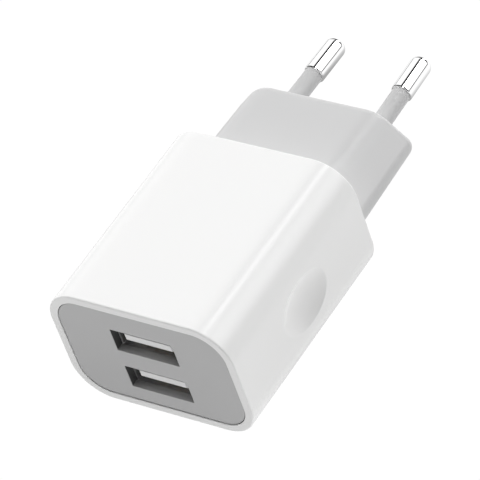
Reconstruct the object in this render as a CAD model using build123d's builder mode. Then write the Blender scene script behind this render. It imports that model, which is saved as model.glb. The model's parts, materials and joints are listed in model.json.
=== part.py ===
from build123d import *
import os

os.makedirs("parts", exist_ok=True)

# Wall charger with a two-pin plug and two USB-A sockets.
# Millimetres. X is the width, +Y points out along the pins, +Z is up.
# z = 0 is the underside of the body, x = 0 its middle, y = 0 the middle of the whole length.

# ---- outer body
body_width = 37.5
body_height = 25.0
body_depth = 40.9
body_corner = 7.1
outer_edge = 0.3
side_wall = 2.6
flat_wall = 2.0
cavity_corner = 5.0

# ---- end pieces
end_width = 34.1
end_height = 21.6
end_corner = 5.4
seam_gap = 0.12
plate_thickness = 1.6
plate_recess = 0.15
cap_thickness = 2.0
skirt_wall = 1.0
skirt_length = 2.5
skirt_gap = 0.1
snap_width = 5.0
snap_x = 8.0
snap_height = 0.4
snap_length = 1.0
snap_clearance = 0.2

# ---- thumb dimples in the two side walls
dimple_y = 20.7
dimple_z = 12.55
dimple_length = 13.2
dimple_height = 9.8
dimple_depth = 1.5

# ---- plug block and pins
plug_depth = 18.9
plug_top_half = 12.3
plug_half_height = 6.65
plug_side_half = 18.5
plug_top_radius = 6.0
plug_side_radius = 2.0
plug_draft = 0.45
plug_edge_radius = 1.5
plug_wall = 1.8
plug_side_wall = 2.5
plug_end_wall = 3.6
pin_length = 18.5
pin_radius = 2.0
pin_tip_radius = 1.4
pin_core_radius = 1.2
pin_spacing_base = 18.86
pin_spacing_tip = 17.94
pin_shoulder = 0.3
collar_length = 10.0
collar_radius = 1.72
collar_embed = 2.0
fit_gap = 0.06
flange_radius = 2.3
flange_thickness = 0.8
tail_radius = 0.8
tail_length = 2.6

# ---- USB-A sockets
opening_width = 12.8
opening_height = 5.05
port_heights = {"upper": 16.4, "lower": 7.43}
shell_inner_width = 12.5
shell_inner_height = 5.12
shell_sheet = 0.3
shell_front = 1.8
shell_back = 14.6
shell_leg_width = 1.6
shell_leg_length = 1.9
spring_slot = 0.25
spring_width = 1.6
spring_length = 4.0
spring_x = 3.6
spring_from_mouth = 3.0
tongue_width = 11.1
tongue_thickness = 1.85
tongue_drop = 0.4
tongue_front = 0.85
tongue_left_lead_in = 1.45
tongue_right_lead_in = 0.3
insulator_front = 11.2
insulator_gap = 0.05
contact_pitch_outer = 3.5
contact_pitch_inner = 1.0
contact_width = 1.0
contact_sheet = 0.2
contact_rise = 0.3
contact_root = 11.0
contact_bend = 9.4
contact_crest = 5.2
contact_crest_drop = 0.55
contact_tip = 3.2
contact_tip_rise = 0.1
contact_join_gap = 0.1
contact_tail_end = 16.5
groove_width = 1.3
groove_depth = 1.1
groove_front = 2.2

# ---- circuit boards
board_sheet = 1.2
main_front = 16.0
main_back = 38.4
main_half_width = 14.0
main_z = 4.8
output_front = 14.6
output_half_width = 13.4
output_bottom = 3.2
output_top = 21.4
rib_x = 12.4
rib_width = 1.2
rib_front = 16.2
rib_back = 36.2
rail_x = 13.2
rail_height = 1.0
rail_gap = 0.05
rail_starts = (16.4, 33.6)
rail_length = 2.4
hole_gap = 0.12
lead_end_z = 3.8

# ---- derived
total_length = body_depth + plug_depth + pin_length
front_y = -total_length / 2
back_y = front_y + body_depth
plug_face_y = back_y + plug_depth
mid_z = body_height / 2
cavity_width = body_width - 2 * side_wall
cavity_height = body_height - 2 * flat_wall
main_top = main_z + board_sheet
output_back = output_front + board_sheet
contact_xs = (-contact_pitch_outer, -contact_pitch_inner, contact_pitch_inner, contact_pitch_outer)
shell_outer_width = shell_inner_width + 2 * shell_sheet
shell_outer_height = shell_inner_height + 2 * shell_sheet


def across(from_front):
    """Plane across the body at a distance behind the front face; extrude by a minus amount to go back."""
    return Plane(origin=(0, front_y + from_front, 0), x_dir=(1, 0, 0), z_dir=(0, -1, 0))


def plug_profile(top_half, half_height, side_half, top_radius, side_radius):
    """Flattened hexagon of the plug block, rounded at its six corners."""
    with BuildLine(mode=Mode.PRIVATE) as outline:
        Polyline(
            (top_half, half_height),
            (-top_half, half_height),
            (-side_half, 0),
            (-top_half, -half_height),
            (top_half, -half_height),
            (side_half, 0),
            close=True,
        )
    with BuildSketch(mode=Mode.PRIVATE) as profile:
        add(outline.line)
        make_face()
        fillet(profile.vertices().filter_by_position(Axis.X, -top_half - 0.1, top_half + 0.1), top_radius)
        fillet([profile.vertices().sort_by(Axis.X)[0], profile.vertices().sort_by(Axis.X)[-1]], side_radius)
    return profile.sketch


# ================= outer sleeve
with BuildPart() as outer_sleeve:
    with BuildSketch(across(0)):
        with Locations((0, mid_z)):
            RectangleRounded(body_width, body_height, body_corner)
    extrude(amount=-body_depth)
    fillet(outer_sleeve.faces().filter_by(Axis.Y).edges(), radius=outer_edge)
    with BuildSketch(across(0)):
        with Locations((0, mid_z)):
            RectangleRounded(cavity_width, cavity_height, cavity_corner)
    extrude(amount=-body_depth, mode=Mode.SUBTRACT)
    # rebates that take the front plate and the rear cap
    for start, depth in ((0, plate_recess + plate_thickness), (body_depth - cap_thickness, cap_thickness)):
        with BuildSketch(across(start)):
            with Locations((0, mid_z)):
                RectangleRounded(end_width + 2 * seam_gap, end_height + 2 * seam_gap, end_corner + seam_gap)
        extrude(amount=-depth, mode=Mode.SUBTRACT)
    # pockets for the snap ramps of both end pieces
    snap_front = plate_recess + plate_thickness + skirt_length / 2
    snap_back = body_depth - cap_thickness - skirt_length / 2
    for snap_y in (snap_front, snap_back):
        for x in (-snap_x, snap_x):
            with Locations((x, front_y + snap_y, mid_z)):
                Box(
                    snap_width + 2 * snap_clearance,
                    snap_length + 2 * snap_clearance,
                    cavity_height + 2 * (snap_height + snap_clearance),
                    mode=Mode.SUBTRACT,
                )
    # oval dimples: each is cut by a barrel standing upright beside the wall
    across_radius = ((dimple_length / 2) ** 2 + dimple_depth**2) / (2 * dimple_depth)
    upright_radius = ((dimple_height / 2) ** 2 + dimple_depth**2) / (2 * dimple_depth)
    barrel_x = body_width / 2 - dimple_depth + across_radius
    for side in (-1, 1):
        with BuildSketch(across(dimple_y)):
            with Locations((side * (barrel_x - across_radius + upright_radius), dimple_z)):
                Circle(upright_radius)
            with Locations((side * (barrel_x + upright_radius), dimple_z)):
                Rectangle(2 * upright_radius, 3 * upright_radius, mode=Mode.SUBTRACT)
        revolve(
            axis=Axis((side * barrel_x, front_y + dimple_y, 0), (0, 0, 1)),
            mode=Mode.SUBTRACT,
        )
    # two floor ribs the main board lies on
    for x in (-rib_x, rib_x):
        with Locations((x, front_y + (rib_front + rib_back) / 2, main_z)):
            Box(
                rib_width,
                rib_back - rib_front,
                main_z - flat_wall / 2,
                align=(Align.CENTER, Align.CENTER, Align.MAX),
            )
    # short side rails over the board's edges
    rail_width = body_width / 2 - side_wall / 2 - rail_x
    for side in (-1, 1):
        for start in rail_starts:
            with Locations((side * (rail_x + rail_width / 2), front_y + start, main_top + rail_gap)):
                Box(rail_width, rail_length, rail_height, align=(Align.CENTER, Align.MIN, Align.MIN))
outer_sleeve.part.label = "outer_sleeve"
export_step(outer_sleeve.part, "parts/outer_sleeve.step")


def skirt(start, end, snap_y):
    """Thin frame that slides into the sleeve, with a snap ramp at four places."""
    with BuildPart(mode=Mode.PRIVATE) as frame:
        with BuildSketch(across(start)):
            with Locations((0, mid_z)):
                RectangleRounded(
                    cavity_width - 2 * skirt_gap,
                    cavity_height - 2 * skirt_gap,
                    cavity_corner - skirt_gap,
                )
                RectangleRounded(
                    cavity_width - 2 * skirt_gap - 2 * skirt_wall,
                    cavity_height - 2 * skirt_gap - 2 * skirt_wall,
                    cavity_corner - skirt_gap - skirt_wall,
                    mode=Mode.SUBTRACT,
                )
        extrude(amount=start - end)
        for x in (-snap_x, snap_x):
            for side in (-1, 1):
                face_z = mid_z + side * (cavity_height / 2 - skirt_gap)
                with Locations((x, front_y + snap_y, face_z)):
                    Box(snap_width, snap_length, 2 * snap_height)
    return frame.part


# ================= front plate with the two socket openings
with BuildPart() as front_plate:
    with BuildSketch(across(plate_recess)):
        with Locations((0, mid_z)):
            RectangleRounded(end_width, end_height, end_corner)
        for port_z in port_heights.values():
            with Locations((0, port_z)):
                Rectangle(opening_width, opening_height, mode=Mode.SUBTRACT)
    extrude(amount=-plate_thickness)
    plate_back = plate_recess + plate_thickness
    add(skirt(plate_back, plate_back + skirt_length, snap_front))
front_plate.part.label = "front_plate"
export_step(front_plate.part, "parts/front_plate.step")

# ================= rear cap and plug block, one hollow moulding
pin_planes = {}
for name, side in (("left", -1), ("right", 1)):
    base_x = side * pin_spacing_base / 2
    lean_x = side * (pin_spacing_tip - pin_spacing_base) / 2
    pin_planes[name] = Plane(origin=(base_x, plug_face_y, mid_z), x_dir=(0, 0, 1), z_dir=(lean_x, pin_length, 0))

with BuildPart() as plug_base:
    with BuildSketch(across(body_depth - cap_thickness)):
        with Locations((0, mid_z)):
            RectangleRounded(end_width, end_height, end_corner)
    extrude(amount=-cap_thickness)
    with BuildSketch(across(body_depth)):
        with Locations((0, mid_z)):
            add(
                plug_profile(
                    plug_top_half + plug_draft,
                    plug_half_height + plug_draft,
                    plug_side_half + plug_draft,
                    plug_top_radius,
                    plug_side_radius,
                )
            )
    with BuildSketch(across(body_depth + plug_depth)):
        with Locations((0, mid_z)):
            add(
                plug_profile(
                    plug_top_half,
                    plug_half_height,
                    plug_side_half,
                    plug_top_radius,
                    plug_side_radius,
                )
            )
    loft(ruled=True)
    fillet(plug_base.faces().sort_by(Axis.Y)[-1].edges(), radius=plug_edge_radius)
    # hollow behind the cap, open towards the body
    with BuildSketch(across(body_depth - cap_thickness)):
        with Locations((0, mid_z)):
            add(
                plug_profile(
                    plug_top_half - plug_wall / 2,
                    plug_half_height - plug_wall,
                    plug_side_half - plug_side_wall,
                    plug_top_radius - plug_wall,
                    plug_side_radius,
                )
            )
    extrude(amount=-(cap_thickness + plug_depth - plug_end_wall), mode=Mode.SUBTRACT)
    # holes for the pin cores, widened near the face for the collars
    for plane in pin_planes.values():
        with BuildSketch(plane):
            Circle(pin_core_radius + fit_gap)
        extrude(amount=-2 * plug_end_wall, mode=Mode.SUBTRACT)
        with BuildSketch(plane.offset(1)):
            Circle(collar_radius + fit_gap)
        extrude(amount=-(collar_embed + 1), mode=Mode.SUBTRACT)
    cap_front = body_depth - cap_thickness
    add(skirt(cap_front - skirt_length, cap_front, snap_back))
plug_base.part.label = "plug_base"
export_step(plug_base.part, "parts/plug_base.step")

# ================= pins and their insulating collars
for name, plane in pin_planes.items():
    with BuildPart() as pin:
        with BuildSketch(plane.offset(collar_length)):
            Circle(pin_radius)
        extrude(amount=pin_length - collar_length)
        shoulder, tip = pin.edges().filter_by(GeomType.CIRCLE).sort_by(Axis.Y)
        fillet(tip, radius=pin_tip_radius)
        fillet(shoulder, radius=pin_shoulder)
        with BuildSketch(plane.offset(collar_length)):
            Circle(pin_core_radius)
        extrude(amount=-(collar_length + plug_end_wall + 1))
        with BuildSketch(plane.offset(-(plug_end_wall + fit_gap))):
            Circle(flange_radius)
        extrude(amount=-flange_thickness)
        with BuildSketch(plane.offset(-(plug_end_wall + flange_thickness))):
            Circle(tail_radius)
        extrude(amount=-tail_length)
    pin.part.label = f"pin_{name}"
    export_step(pin.part, f"parts/pin_{name}.step")

    with BuildPart() as collar:
        with BuildSketch(plane.offset(-collar_embed)):
            Circle(collar_radius)
            Circle(pin_core_radius + fit_gap, mode=Mode.SUBTRACT)
        extrude(amount=collar_embed + collar_length)
    collar.part.label = f"pin_collar_{name}"
    export_step(collar.part, f"parts/pin_collar_{name}.step")

# ================= USB-A sockets
for name, port_z in port_heights.items():
    tongue_bottom = port_z - tongue_drop

    with BuildPart() as shell:
        with BuildSketch(across(shell_front)):
            with Locations((0, port_z)):
                Rectangle(shell_outer_width, shell_outer_height)
                Rectangle(shell_inner_width, shell_inner_height, mode=Mode.SUBTRACT)
        extrude(amount=shell_front - shell_back)
        fillet(shell.edges().filter_by(Axis.Y).group_by(Axis.X)[0], radius=shell_sheet)
        fillet(shell.edges().filter_by(Axis.Y).group_by(Axis.X)[-1], radius=shell_sheet)
        # slots that free two holding springs above and two below
        for x in (-spring_x, spring_x):
            with Locations((x, front_y + shell_front + spring_from_mouth, port_z)):
                with Locations((0, spring_length / 2, 0)):
                    Box(spring_width + 2 * spring_slot, spring_slot, 2 * shell_outer_height, mode=Mode.SUBTRACT)
                for edge in (-1, 1):
                    with Locations((edge * (spring_width + spring_slot) / 2, 0, 0)):
                        Box(spring_slot, spring_length, 2 * shell_outer_height, mode=Mode.SUBTRACT)
        # legs soldered through the output board
        for side in (-1, 1):
            with Locations((side * (shell_outer_width - shell_sheet) / 2, front_y + shell_back, port_z)):
                Box(shell_sheet, shell_leg_length, shell_leg_width, align=(Align.CENTER, Align.MIN, Align.CENTER))
    shell.part.label = f"{name}_usb_shell"
    export_step(shell.part, f"parts/{name}_usb_shell.step")

    with BuildPart() as tongue:
        with BuildSketch(across(insulator_front)):
            with Locations((0, port_z)):
                Rectangle(shell_inner_width - 2 * insulator_gap, shell_inner_height - 2 * insulator_gap)
        extrude(amount=insulator_front - shell_back)
        with BuildSketch(Plane.XY.offset(tongue_bottom)):
            with Locations((0, front_y + tongue_front)):
                Rectangle(tongue_width, insulator_front - tongue_front, align=(Align.CENTER, Align.MIN))
        extrude(amount=tongue_thickness)
        left_end, right_end = tongue.edges().filter_by(Axis.Z).group_by(Axis.Y)[0].sort_by(Axis.X)
        chamfer(left_end, length=tongue_left_lead_in)
        chamfer(right_end, length=tongue_right_lead_in)
        for x in contact_xs:
            with Locations((x, front_y + groove_front, tongue_bottom)):
                Box(
                    groove_width,
                    insulator_front - groove_front,
                    2 * groove_depth,
                    align=(Align.CENTER, Align.MIN, Align.CENTER),
                    mode=Mode.SUBTRACT,
                )
            with Locations((x, front_y + insulator_front, tongue_bottom + contact_rise + contact_sheet / 2)):
                Box(
                    contact_width,
                    shell_back - insulator_front,
                    contact_sheet,
                    align=(Align.CENTER, Align.MIN, Align.CENTER),
                    mode=Mode.SUBTRACT,
                )
    tongue.part.label = f"{name}_usb_tongue"
    export_step(tongue.part, f"parts/{name}_usb_tongue.step")

    # four springy contact blades, bowed down below the tongue
    with BuildPart() as blades:
        for x in contact_xs:
            with BuildSketch(Plane.YZ.offset(x - contact_width / 2)):
                with BuildLine():
                    Polyline(
                        (front_y + contact_root, tongue_bottom + contact_rise),
                        (front_y + contact_bend, tongue_bottom + contact_rise),
                        (front_y + contact_crest, tongue_bottom - contact_crest_drop),
                        (front_y + contact_tip, tongue_bottom + contact_tip_rise),
                        (front_y + contact_tip, tongue_bottom + contact_tip_rise + contact_sheet),
                        (front_y + contact_crest, tongue_bottom - contact_crest_drop + contact_sheet),
                        (front_y + contact_bend, tongue_bottom + contact_rise + contact_sheet),
                        (front_y + contact_root, tongue_bottom + contact_rise + contact_sheet),
                        close=True,
                    )
                make_face()
            extrude(amount=contact_width)
    blades.part.label = f"{name}_contact_blades"
    export_step(blades.part, f"parts/{name}_contact_blades.step")

    with BuildPart() as tails:
        for x in contact_xs:
            tail_start = contact_root + contact_join_gap
            with Locations((x, front_y + tail_start, tongue_bottom + contact_rise + contact_sheet / 2)):
                Box(
                    contact_width,
                    contact_tail_end - tail_start,
                    contact_sheet,
                    align=(Align.CENTER, Align.MIN, Align.CENTER),
                )
    tails.part.label = f"{name}_contact_tails"
    export_step(tails.part, f"parts/{name}_contact_tails.step")

# ================= parts on the main board: places and sizes
input_capacitors = {"front": (9.4, 28.4), "rear": (2.6, 34.4)}
input_radius = 3.95
input_height = 13.0
output_capacitors = {"left": (3.0, 21.0), "right": (9.6, 21.0)}
output_radius = 3.1
output_height = 9.5
can_groove_depth = 0.25
can_groove_height = 0.8
can_lead_radius = 0.3
input_lead_pitch = 3.5
output_lead_pitch = 2.5

transformer_x = -6.6
transformer_y = 25.5
core_width = 13.0
core_depth = 6.0
core_bottom = 7.4
core_height = 12.4
yoke_height = 2.0
centre_leg_half = 1.9
side_leg = 1.55
bobbin_gap = 0.08
bobbin_wall = 0.5
bobbin_flange = 0.7
bobbin_half_width = 4.8
bobbin_half_depth = 6.0
bobbin_foot_depth = 2.7
winding_half_width = 4.3
winding_half_depth = 5.5
winding_corner = 1.6
tape_gap = 0.05
tape_sheet = 0.25
tape_margin = 0.5
bobbin_pin_radius = 0.3
bobbin_pin_xs = (-3.6, 0.0, 3.6)
bobbin_pin_y = 4.6

choke_x = 9.8
choke_y = 34.9
choke_radius = 2.3
choke_height = 7.0
choke_waist = 1.7
choke_flange = 1.0
choke_wire_gap = 0.05

disc_x = 2.6
disc_y = 27.3
disc_radius = 2.9
disc_thickness = 2.4
disc_rounding = 0.8
disc_lift = 1.6
disc_lead_y = 1.9
disc_lead_radius = 0.3

resistor_x = -7.0
resistor_y = 36.0
resistor_radius = 1.4
resistor_length = 7.0
resistor_rounding = 0.45
resistor_lift = 1.8
resistor_lead_reach = 4.4
resistor_lead_radius = 0.3

wire_x = 12.4
wire_y = 37.2
wire_radius = 0.55
wire_bare_radius = 0.3
wire_straight = 6.0
wire_bend = 3.5

link_xs = (-11.0, -8.5, 8.5, 11.0)
link_y = 17.2
link_z = 8.2
link_half = 0.32
link_bend = 0.6
link_stub = 0.4
link_hole_radius = link_half * 2**0.5

# each chip hangs under the main board: x, distance from front, width, depth, height, leg count per side
chips = {
    "bridge_rectifier": (5.2, 31.0, 3.9, 4.7, 1.9, 2),
    "controller_chip": (-6.0, 25.5, 3.9, 4.9, 1.5, 4),
    "output_diode": (7.0, 19.4, 3.4, 2.6, 1.8, 1),
}
chip_leg_reach = 1.0
chip_leg_width = 0.5
chip_leg_sheet = 0.2
chip_bevel = 0.3

capacitor_places = []
for x, y in input_capacitors.values():
    capacitor_places.append((x, y, input_lead_pitch))
for x, y in output_capacitors.values():
    capacitor_places.append((x, y, output_lead_pitch))

board_holes = []
for x, y, pitch in capacitor_places:
    board_holes.append((x - pitch / 2, y, can_lead_radius))
    board_holes.append((x + pitch / 2, y, can_lead_radius))
for x in bobbin_pin_xs:
    board_holes.append((transformer_x + x, transformer_y - bobbin_pin_y, bobbin_pin_radius))
    board_holes.append((transformer_x + x, transformer_y + bobbin_pin_y, bobbin_pin_radius))
for side in (-1, 1):
    board_holes.append((disc_x, disc_y + side * disc_lead_y, disc_lead_radius))
    board_holes.append((resistor_x + side * resistor_lead_reach, resistor_y, resistor_lead_radius))
    board_holes.append((side * wire_x, wire_y, wire_bare_radius))
for x in link_xs:
    board_holes.append((x, link_y, link_hole_radius))

# ================= circuit boards
with BuildPart() as main_board:
    with BuildSketch(Plane.XY.offset(main_z)):
        with Locations((0, front_y + (main_front + main_back) / 2)):
            Rectangle(2 * main_half_width, main_back - main_front)
        for x, y, radius in board_holes:
            with Locations((x, front_y + y)):
                Circle(radius + hole_gap, mode=Mode.SUBTRACT)
    extrude(amount=board_sheet)
main_board.part.label = "main_board"
export_step(main_board.part, "parts/main_board.step")

with BuildPart() as output_board:
    with BuildSketch(across(output_front)):
        with Locations((0, (output_bottom + output_top) / 2)):
            Rectangle(2 * output_half_width, output_top - output_bottom)
        for port_z in port_heights.values():
            tail_z = port_z - tongue_drop + contact_rise + contact_sheet / 2
            for x in contact_xs:
                with Locations((x, tail_z)):
                    Rectangle(contact_width + hole_gap, contact_sheet + 2 * hole_gap, mode=Mode.SUBTRACT)
            for side in (-1, 1):
                with Locations((side * (shell_outer_width - shell_sheet) / 2, port_z)):
                    Rectangle(shell_sheet + 2 * hole_gap, shell_leg_width + 2 * hole_gap, mode=Mode.SUBTRACT)
        for x in link_xs:
            with Locations((x, link_z)):
                Rectangle(2 * (link_half + hole_gap), 2 * (link_half + hole_gap), mode=Mode.SUBTRACT)
    extrude(amount=-board_sheet)
output_board.part.label = "output_board"
export_step(output_board.part, "parts/output_board.step")

# right-angle pins joining the two boards
with BuildPart() as link_pins:
    for x in link_xs:
        with BuildSketch(Plane.YZ.offset(x - link_half)):
            with BuildLine():
                Polyline(
                    (front_y + link_y + link_half, lead_end_z),
                    (front_y + link_y + link_half, link_z + link_half - link_bend),
                    (front_y + link_y + link_half - link_bend, link_z + link_half),
                    (front_y + output_front - link_stub, link_z + link_half),
                    (front_y + output_front - link_stub, link_z - link_half),
                    (front_y + link_y - link_half, link_z - link_half),
                    (front_y + link_y - link_half, lead_end_z),
                    close=True,
                )
            make_face()
        extrude(amount=2 * link_half)
link_pins.part.label = "board_link_pins"
export_step(link_pins.part, "parts/board_link_pins.step")


# ================= capacitors
def make_can(radius, height, x, y):
    """Round can standing on the main board, with the crimped groove near its foot."""
    with BuildPart(mode=Mode.PRIVATE) as can:
        with Locations((x, front_y + y, main_top)):
            Cylinder(radius, height, align=(Align.CENTER, Align.CENTER, Align.MIN))
        fillet(can.faces().sort_by(Axis.Z)[-1].edges(), radius=2 * can_groove_depth)
        with BuildSketch(Plane.XY.offset(main_top + 2 * can_groove_height)):
            with Locations((x, front_y + y)):
                Circle(radius + 1)
                Circle(radius - can_groove_depth, mode=Mode.SUBTRACT)
        extrude(amount=can_groove_height, mode=Mode.SUBTRACT)
    return can


for name, (x, y) in input_capacitors.items():
    can = make_can(input_radius, input_height, x, y)
    can.part.label = f"input_capacitor_{name}"
    export_step(can.part, f"parts/input_capacitor_{name}.step")

for name, (x, y) in output_capacitors.items():
    can = make_can(output_radius, output_height, x, y)
    can.part.label = f"output_capacitor_{name}"
    export_step(can.part, f"parts/output_capacitor_{name}.step")

with BuildPart() as capacitor_leads:
    for x, y, pitch in capacitor_places:
        for side in (-1, 1):
            with Locations((x + side * pitch / 2, front_y + y, main_top)):
                Cylinder(
                    can_lead_radius,
                    main_top - lead_end_z,
                    align=(Align.CENTER, Align.CENTER, Align.MAX),
                )
capacitor_leads.part.label = "capacitor_leads"
export_step(capacitor_leads.part, "parts/capacitor_leads.step")

# ================= transformer
transformer_centre = front_y + transformer_y
core_mid = core_bottom + core_height / 2
window_height = core_height - 2 * yoke_height
window_width = core_width / 2 - side_leg - centre_leg_half
window_x = centre_leg_half + window_width / 2

with BuildPart() as transformer_core:
    with Locations((transformer_x, transformer_centre, core_mid)):
        Box(core_width, core_depth, core_height)
        for side in (-1, 1):
            with Locations((side * window_x, 0, 0)):
                Box(window_width, 2 * core_depth, window_height, mode=Mode.SUBTRACT)
transformer_core.part.label = "transformer_core"
export_step(transformer_core.part, "parts/transformer_core.step")

window_bottom = core_bottom + yoke_height
flange_low = window_bottom + bobbin_gap
flange_high = window_bottom + window_height - bobbin_gap - bobbin_flange
tube_half_x = centre_leg_half + bobbin_gap + bobbin_wall
tube_half_y = core_depth / 2 + bobbin_gap + bobbin_wall

with BuildPart() as transformer_bobbin:
    with Locations((transformer_x, transformer_centre, 0)):
        for z in (flange_low, flange_high):
            with Locations((0, 0, z)):
                Box(
                    2 * bobbin_half_width,
                    2 * bobbin_half_depth,
                    bobbin_flange,
                    align=(Align.CENTER, Align.CENTER, Align.MIN),
                )
        with Locations((0, 0, flange_low)):
            Box(
                2 * tube_half_x,
                2 * tube_half_y,
                flange_high - flange_low,
                align=(Align.CENTER, Align.CENTER, Align.MIN),
            )
        for side in (-1, 1):
            with Locations((0, side * (bobbin_half_depth - bobbin_foot_depth / 2), main_top)):
                Box(
                    2 * bobbin_half_width,
                    bobbin_foot_depth,
                    flange_low - main_top,
                    align=(Align.CENTER, Align.CENTER, Align.MIN),
                )
        with Locations((0, 0, core_mid)):
            Box(
                2 * (tube_half_x - bobbin_wall),
                2 * (tube_half_y - bobbin_wall),
                2 * core_height,
                mode=Mode.SUBTRACT,
            )
transformer_bobbin.part.label = "transformer_bobbin"
export_step(transformer_bobbin.part, "parts/transformer_bobbin.step")

winding_low = flange_low + bobbin_flange
winding_height = flange_high - winding_low
with BuildPart() as transformer_winding:
    with BuildSketch(Plane.XY.offset(winding_low)):
        with Locations((transformer_x, transformer_centre)):
            RectangleRounded(2 * winding_half_width, 2 * winding_half_depth, winding_corner)
            Rectangle(2 * tube_half_x, 2 * tube_half_y, mode=Mode.SUBTRACT)
    extrude(amount=winding_height)
transformer_winding.part.label = "transformer_winding"
export_step(transformer_winding.part, "parts/transformer_winding.step")

tape_inner_x = winding_half_width + tape_gap
tape_inner_y = winding_half_depth + tape_gap
with BuildPart() as transformer_tape:
    with BuildSketch(Plane.XY.offset(winding_low + tape_margin)):
        with Locations((transformer_x, transformer_centre)):
            RectangleRounded(
                2 * (tape_inner_x + tape_sheet),
                2 * (tape_inner_y + tape_sheet),
                winding_corner + tape_gap + tape_sheet,
            )
            RectangleRounded(
                2 * tape_inner_x,
                2 * tape_inner_y,
                winding_corner + tape_gap,
                mode=Mode.SUBTRACT,
            )
    extrude(amount=winding_height - 2 * tape_margin)
transformer_tape.part.label = "transformer_tape"
export_step(transformer_tape.part, "parts/transformer_tape.step")

with BuildPart() as transformer_pins:
    for x in bobbin_pin_xs:
        for side in (-1, 1):
            with Locations((transformer_x + x, transformer_centre + side * bobbin_pin_y, main_top)):
                Cylinder(
                    bobbin_pin_radius,
                    main_top - lead_end_z,
                    align=(Align.CENTER, Align.CENTER, Align.MAX),
                )
transformer_pins.part.label = "transformer_pins"
export_step(transformer_pins.part, "parts/transformer_pins.step")

# ================= choke: ferrite drum with its winding
with BuildPart() as choke_core:
    with Locations((choke_x, front_y + choke_y, main_top)):
        Cylinder(choke_waist, choke_height, align=(Align.CENTER, Align.CENTER, Align.MIN))
        Cylinder(choke_radius, choke_flange, align=(Align.CENTER, Align.CENTER, Align.MIN))
        with Locations((0, 0, choke_height - choke_flange)):
            Cylinder(choke_radius, choke_flange, align=(Align.CENTER, Align.CENTER, Align.MIN))
choke_core.part.label = "choke_core"
export_step(choke_core.part, "parts/choke_core.step")

with BuildPart() as choke_winding:
    with BuildSketch(Plane.XY.offset(main_top + choke_flange)):
        with Locations((choke_x, front_y + choke_y)):
            Circle(choke_radius - choke_wire_gap)
            Circle(choke_waist + choke_wire_gap, mode=Mode.SUBTRACT)
    extrude(amount=choke_height - 2 * choke_flange)
choke_winding.part.label = "choke_winding"
export_step(choke_winding.part, "parts/choke_winding.step")

# ================= disc capacitor on two leads
with BuildPart() as disc_capacitor:
    with BuildSketch(Plane.YZ.offset(disc_x - disc_thickness / 2)):
        with Locations((front_y + disc_y, main_top + disc_lift + disc_radius)):
            Circle(disc_radius)
    extrude(amount=disc_thickness)
    fillet(disc_capacitor.faces().filter_by(Axis.X).edges(), radius=disc_rounding)
    for side in (-1, 1):
        with Locations((disc_x, front_y + disc_y + side * disc_lead_y, lead_end_z)):
            Cylinder(
                disc_lead_radius,
                main_top + disc_lift + disc_radius - lead_end_z,
                align=(Align.CENTER, Align.CENTER, Align.MIN),
            )
disc_capacitor.part.label = "disc_capacitor"
export_step(disc_capacitor.part, "parts/disc_capacitor.step")

# ================= fusible resistor lying on two bent leads
resistor_axis_z = main_top + resistor_lift
with BuildPart() as fusible_resistor:
    with BuildSketch(Plane.YZ.offset(resistor_x - resistor_length / 2)):
        with Locations((front_y + resistor_y, resistor_axis_z)):
            Circle(resistor_radius)
    extrude(amount=resistor_length)
    fillet(fusible_resistor.faces().filter_by(Axis.X).edges(), radius=resistor_rounding)
fusible_resistor.part.label = "fusible_resistor"

with BuildPart() as resistor_leads:
    for side in (-1, 1):
        with BuildLine() as route:
            FilletPolyline(
                (resistor_x + side * resistor_length / 2, front_y + resistor_y, resistor_axis_z),
                (resistor_x + side * resistor_lead_reach, front_y + resistor_y, resistor_axis_z),
                (resistor_x + side * resistor_lead_reach, front_y + resistor_y, lead_end_z),
                radius=resistor_lead_reach - resistor_length / 2 - resistor_lead_radius,
            )
        with BuildSketch(Plane(origin=route.line @ 0, z_dir=route.line % 0)):
            Circle(resistor_lead_radius)
        sweep(path=route.line)
resistor_leads.part.label = "resistor_leads"
export_step(fusible_resistor.part, "parts/fusible_resistor.step")
export_step(resistor_leads.part, "parts/resistor_leads.step")

# ================= flat chips under the main board
for name, (x, y, width, depth, height, legs) in chips.items():
    with BuildPart() as chip:
        with Locations((x, front_y + y, main_z - chip_leg_sheet)):
            Box(width, depth, height, align=(Align.CENTER, Align.CENTER, Align.MAX))
        chamfer(chip.faces().sort_by(Axis.Z)[0].edges(), length=chip_bevel)
        leg_pitch = depth / legs
        for leg in range(legs):
            leg_y = front_y + y - depth / 2 + leg_pitch * (leg + 0.5)
            with Locations((x, leg_y, main_z)):
                Box(
                    width + 2 * chip_leg_reach,
                    chip_leg_width,
                    chip_leg_sheet,
                    align=(Align.CENTER, Align.CENTER, Align.MAX),
                )
    chip.part.label = name
    export_step(chip.part, f"parts/{name}.step")

# ================= insulated mains wires from the pins to the main board
tail_reach = plug_end_wall + flange_thickness + tail_length
for name, side in (("left", -1), ("right", 1)):
    start = pin_planes[name].offset(-(tail_reach + fit_gap)).origin
    toward = pin_planes[name].offset(-(tail_reach + wire_straight)).origin
    with BuildPart() as wire:
        with BuildLine() as route:
            FilletPolyline(
                start,
                toward,
                (side * wire_x, front_y + wire_y, mid_z),
                (side * wire_x, front_y + wire_y, main_top + fit_gap),
                radius=wire_bend,
            )
        with BuildSketch(Plane(origin=route.line @ 0, z_dir=route.line % 0)):
            Circle(wire_radius)
        sweep(path=route.line)
        with Locations((side * wire_x, front_y + wire_y, lead_end_z)):
            Cylinder(
                wire_bare_radius,
                main_top - lead_end_z + 1,
                align=(Align.CENTER, Align.CENTER, Align.MIN),
            )
    wire.part.label = f"mains_wire_{name}"
    export_step(wire.part, f"parts/mains_wire_{name}.step")
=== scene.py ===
"""Looks of a mains charger: white sleeve, grey ends, round plated pins and two stacked sockets."""

import json
import logging
import math
from dataclasses import dataclass, field
from enum import Enum
from typing import Callable, Iterable, Sequence

import bmesh
import bpy
from mathutils import Matrix, Vector


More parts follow.
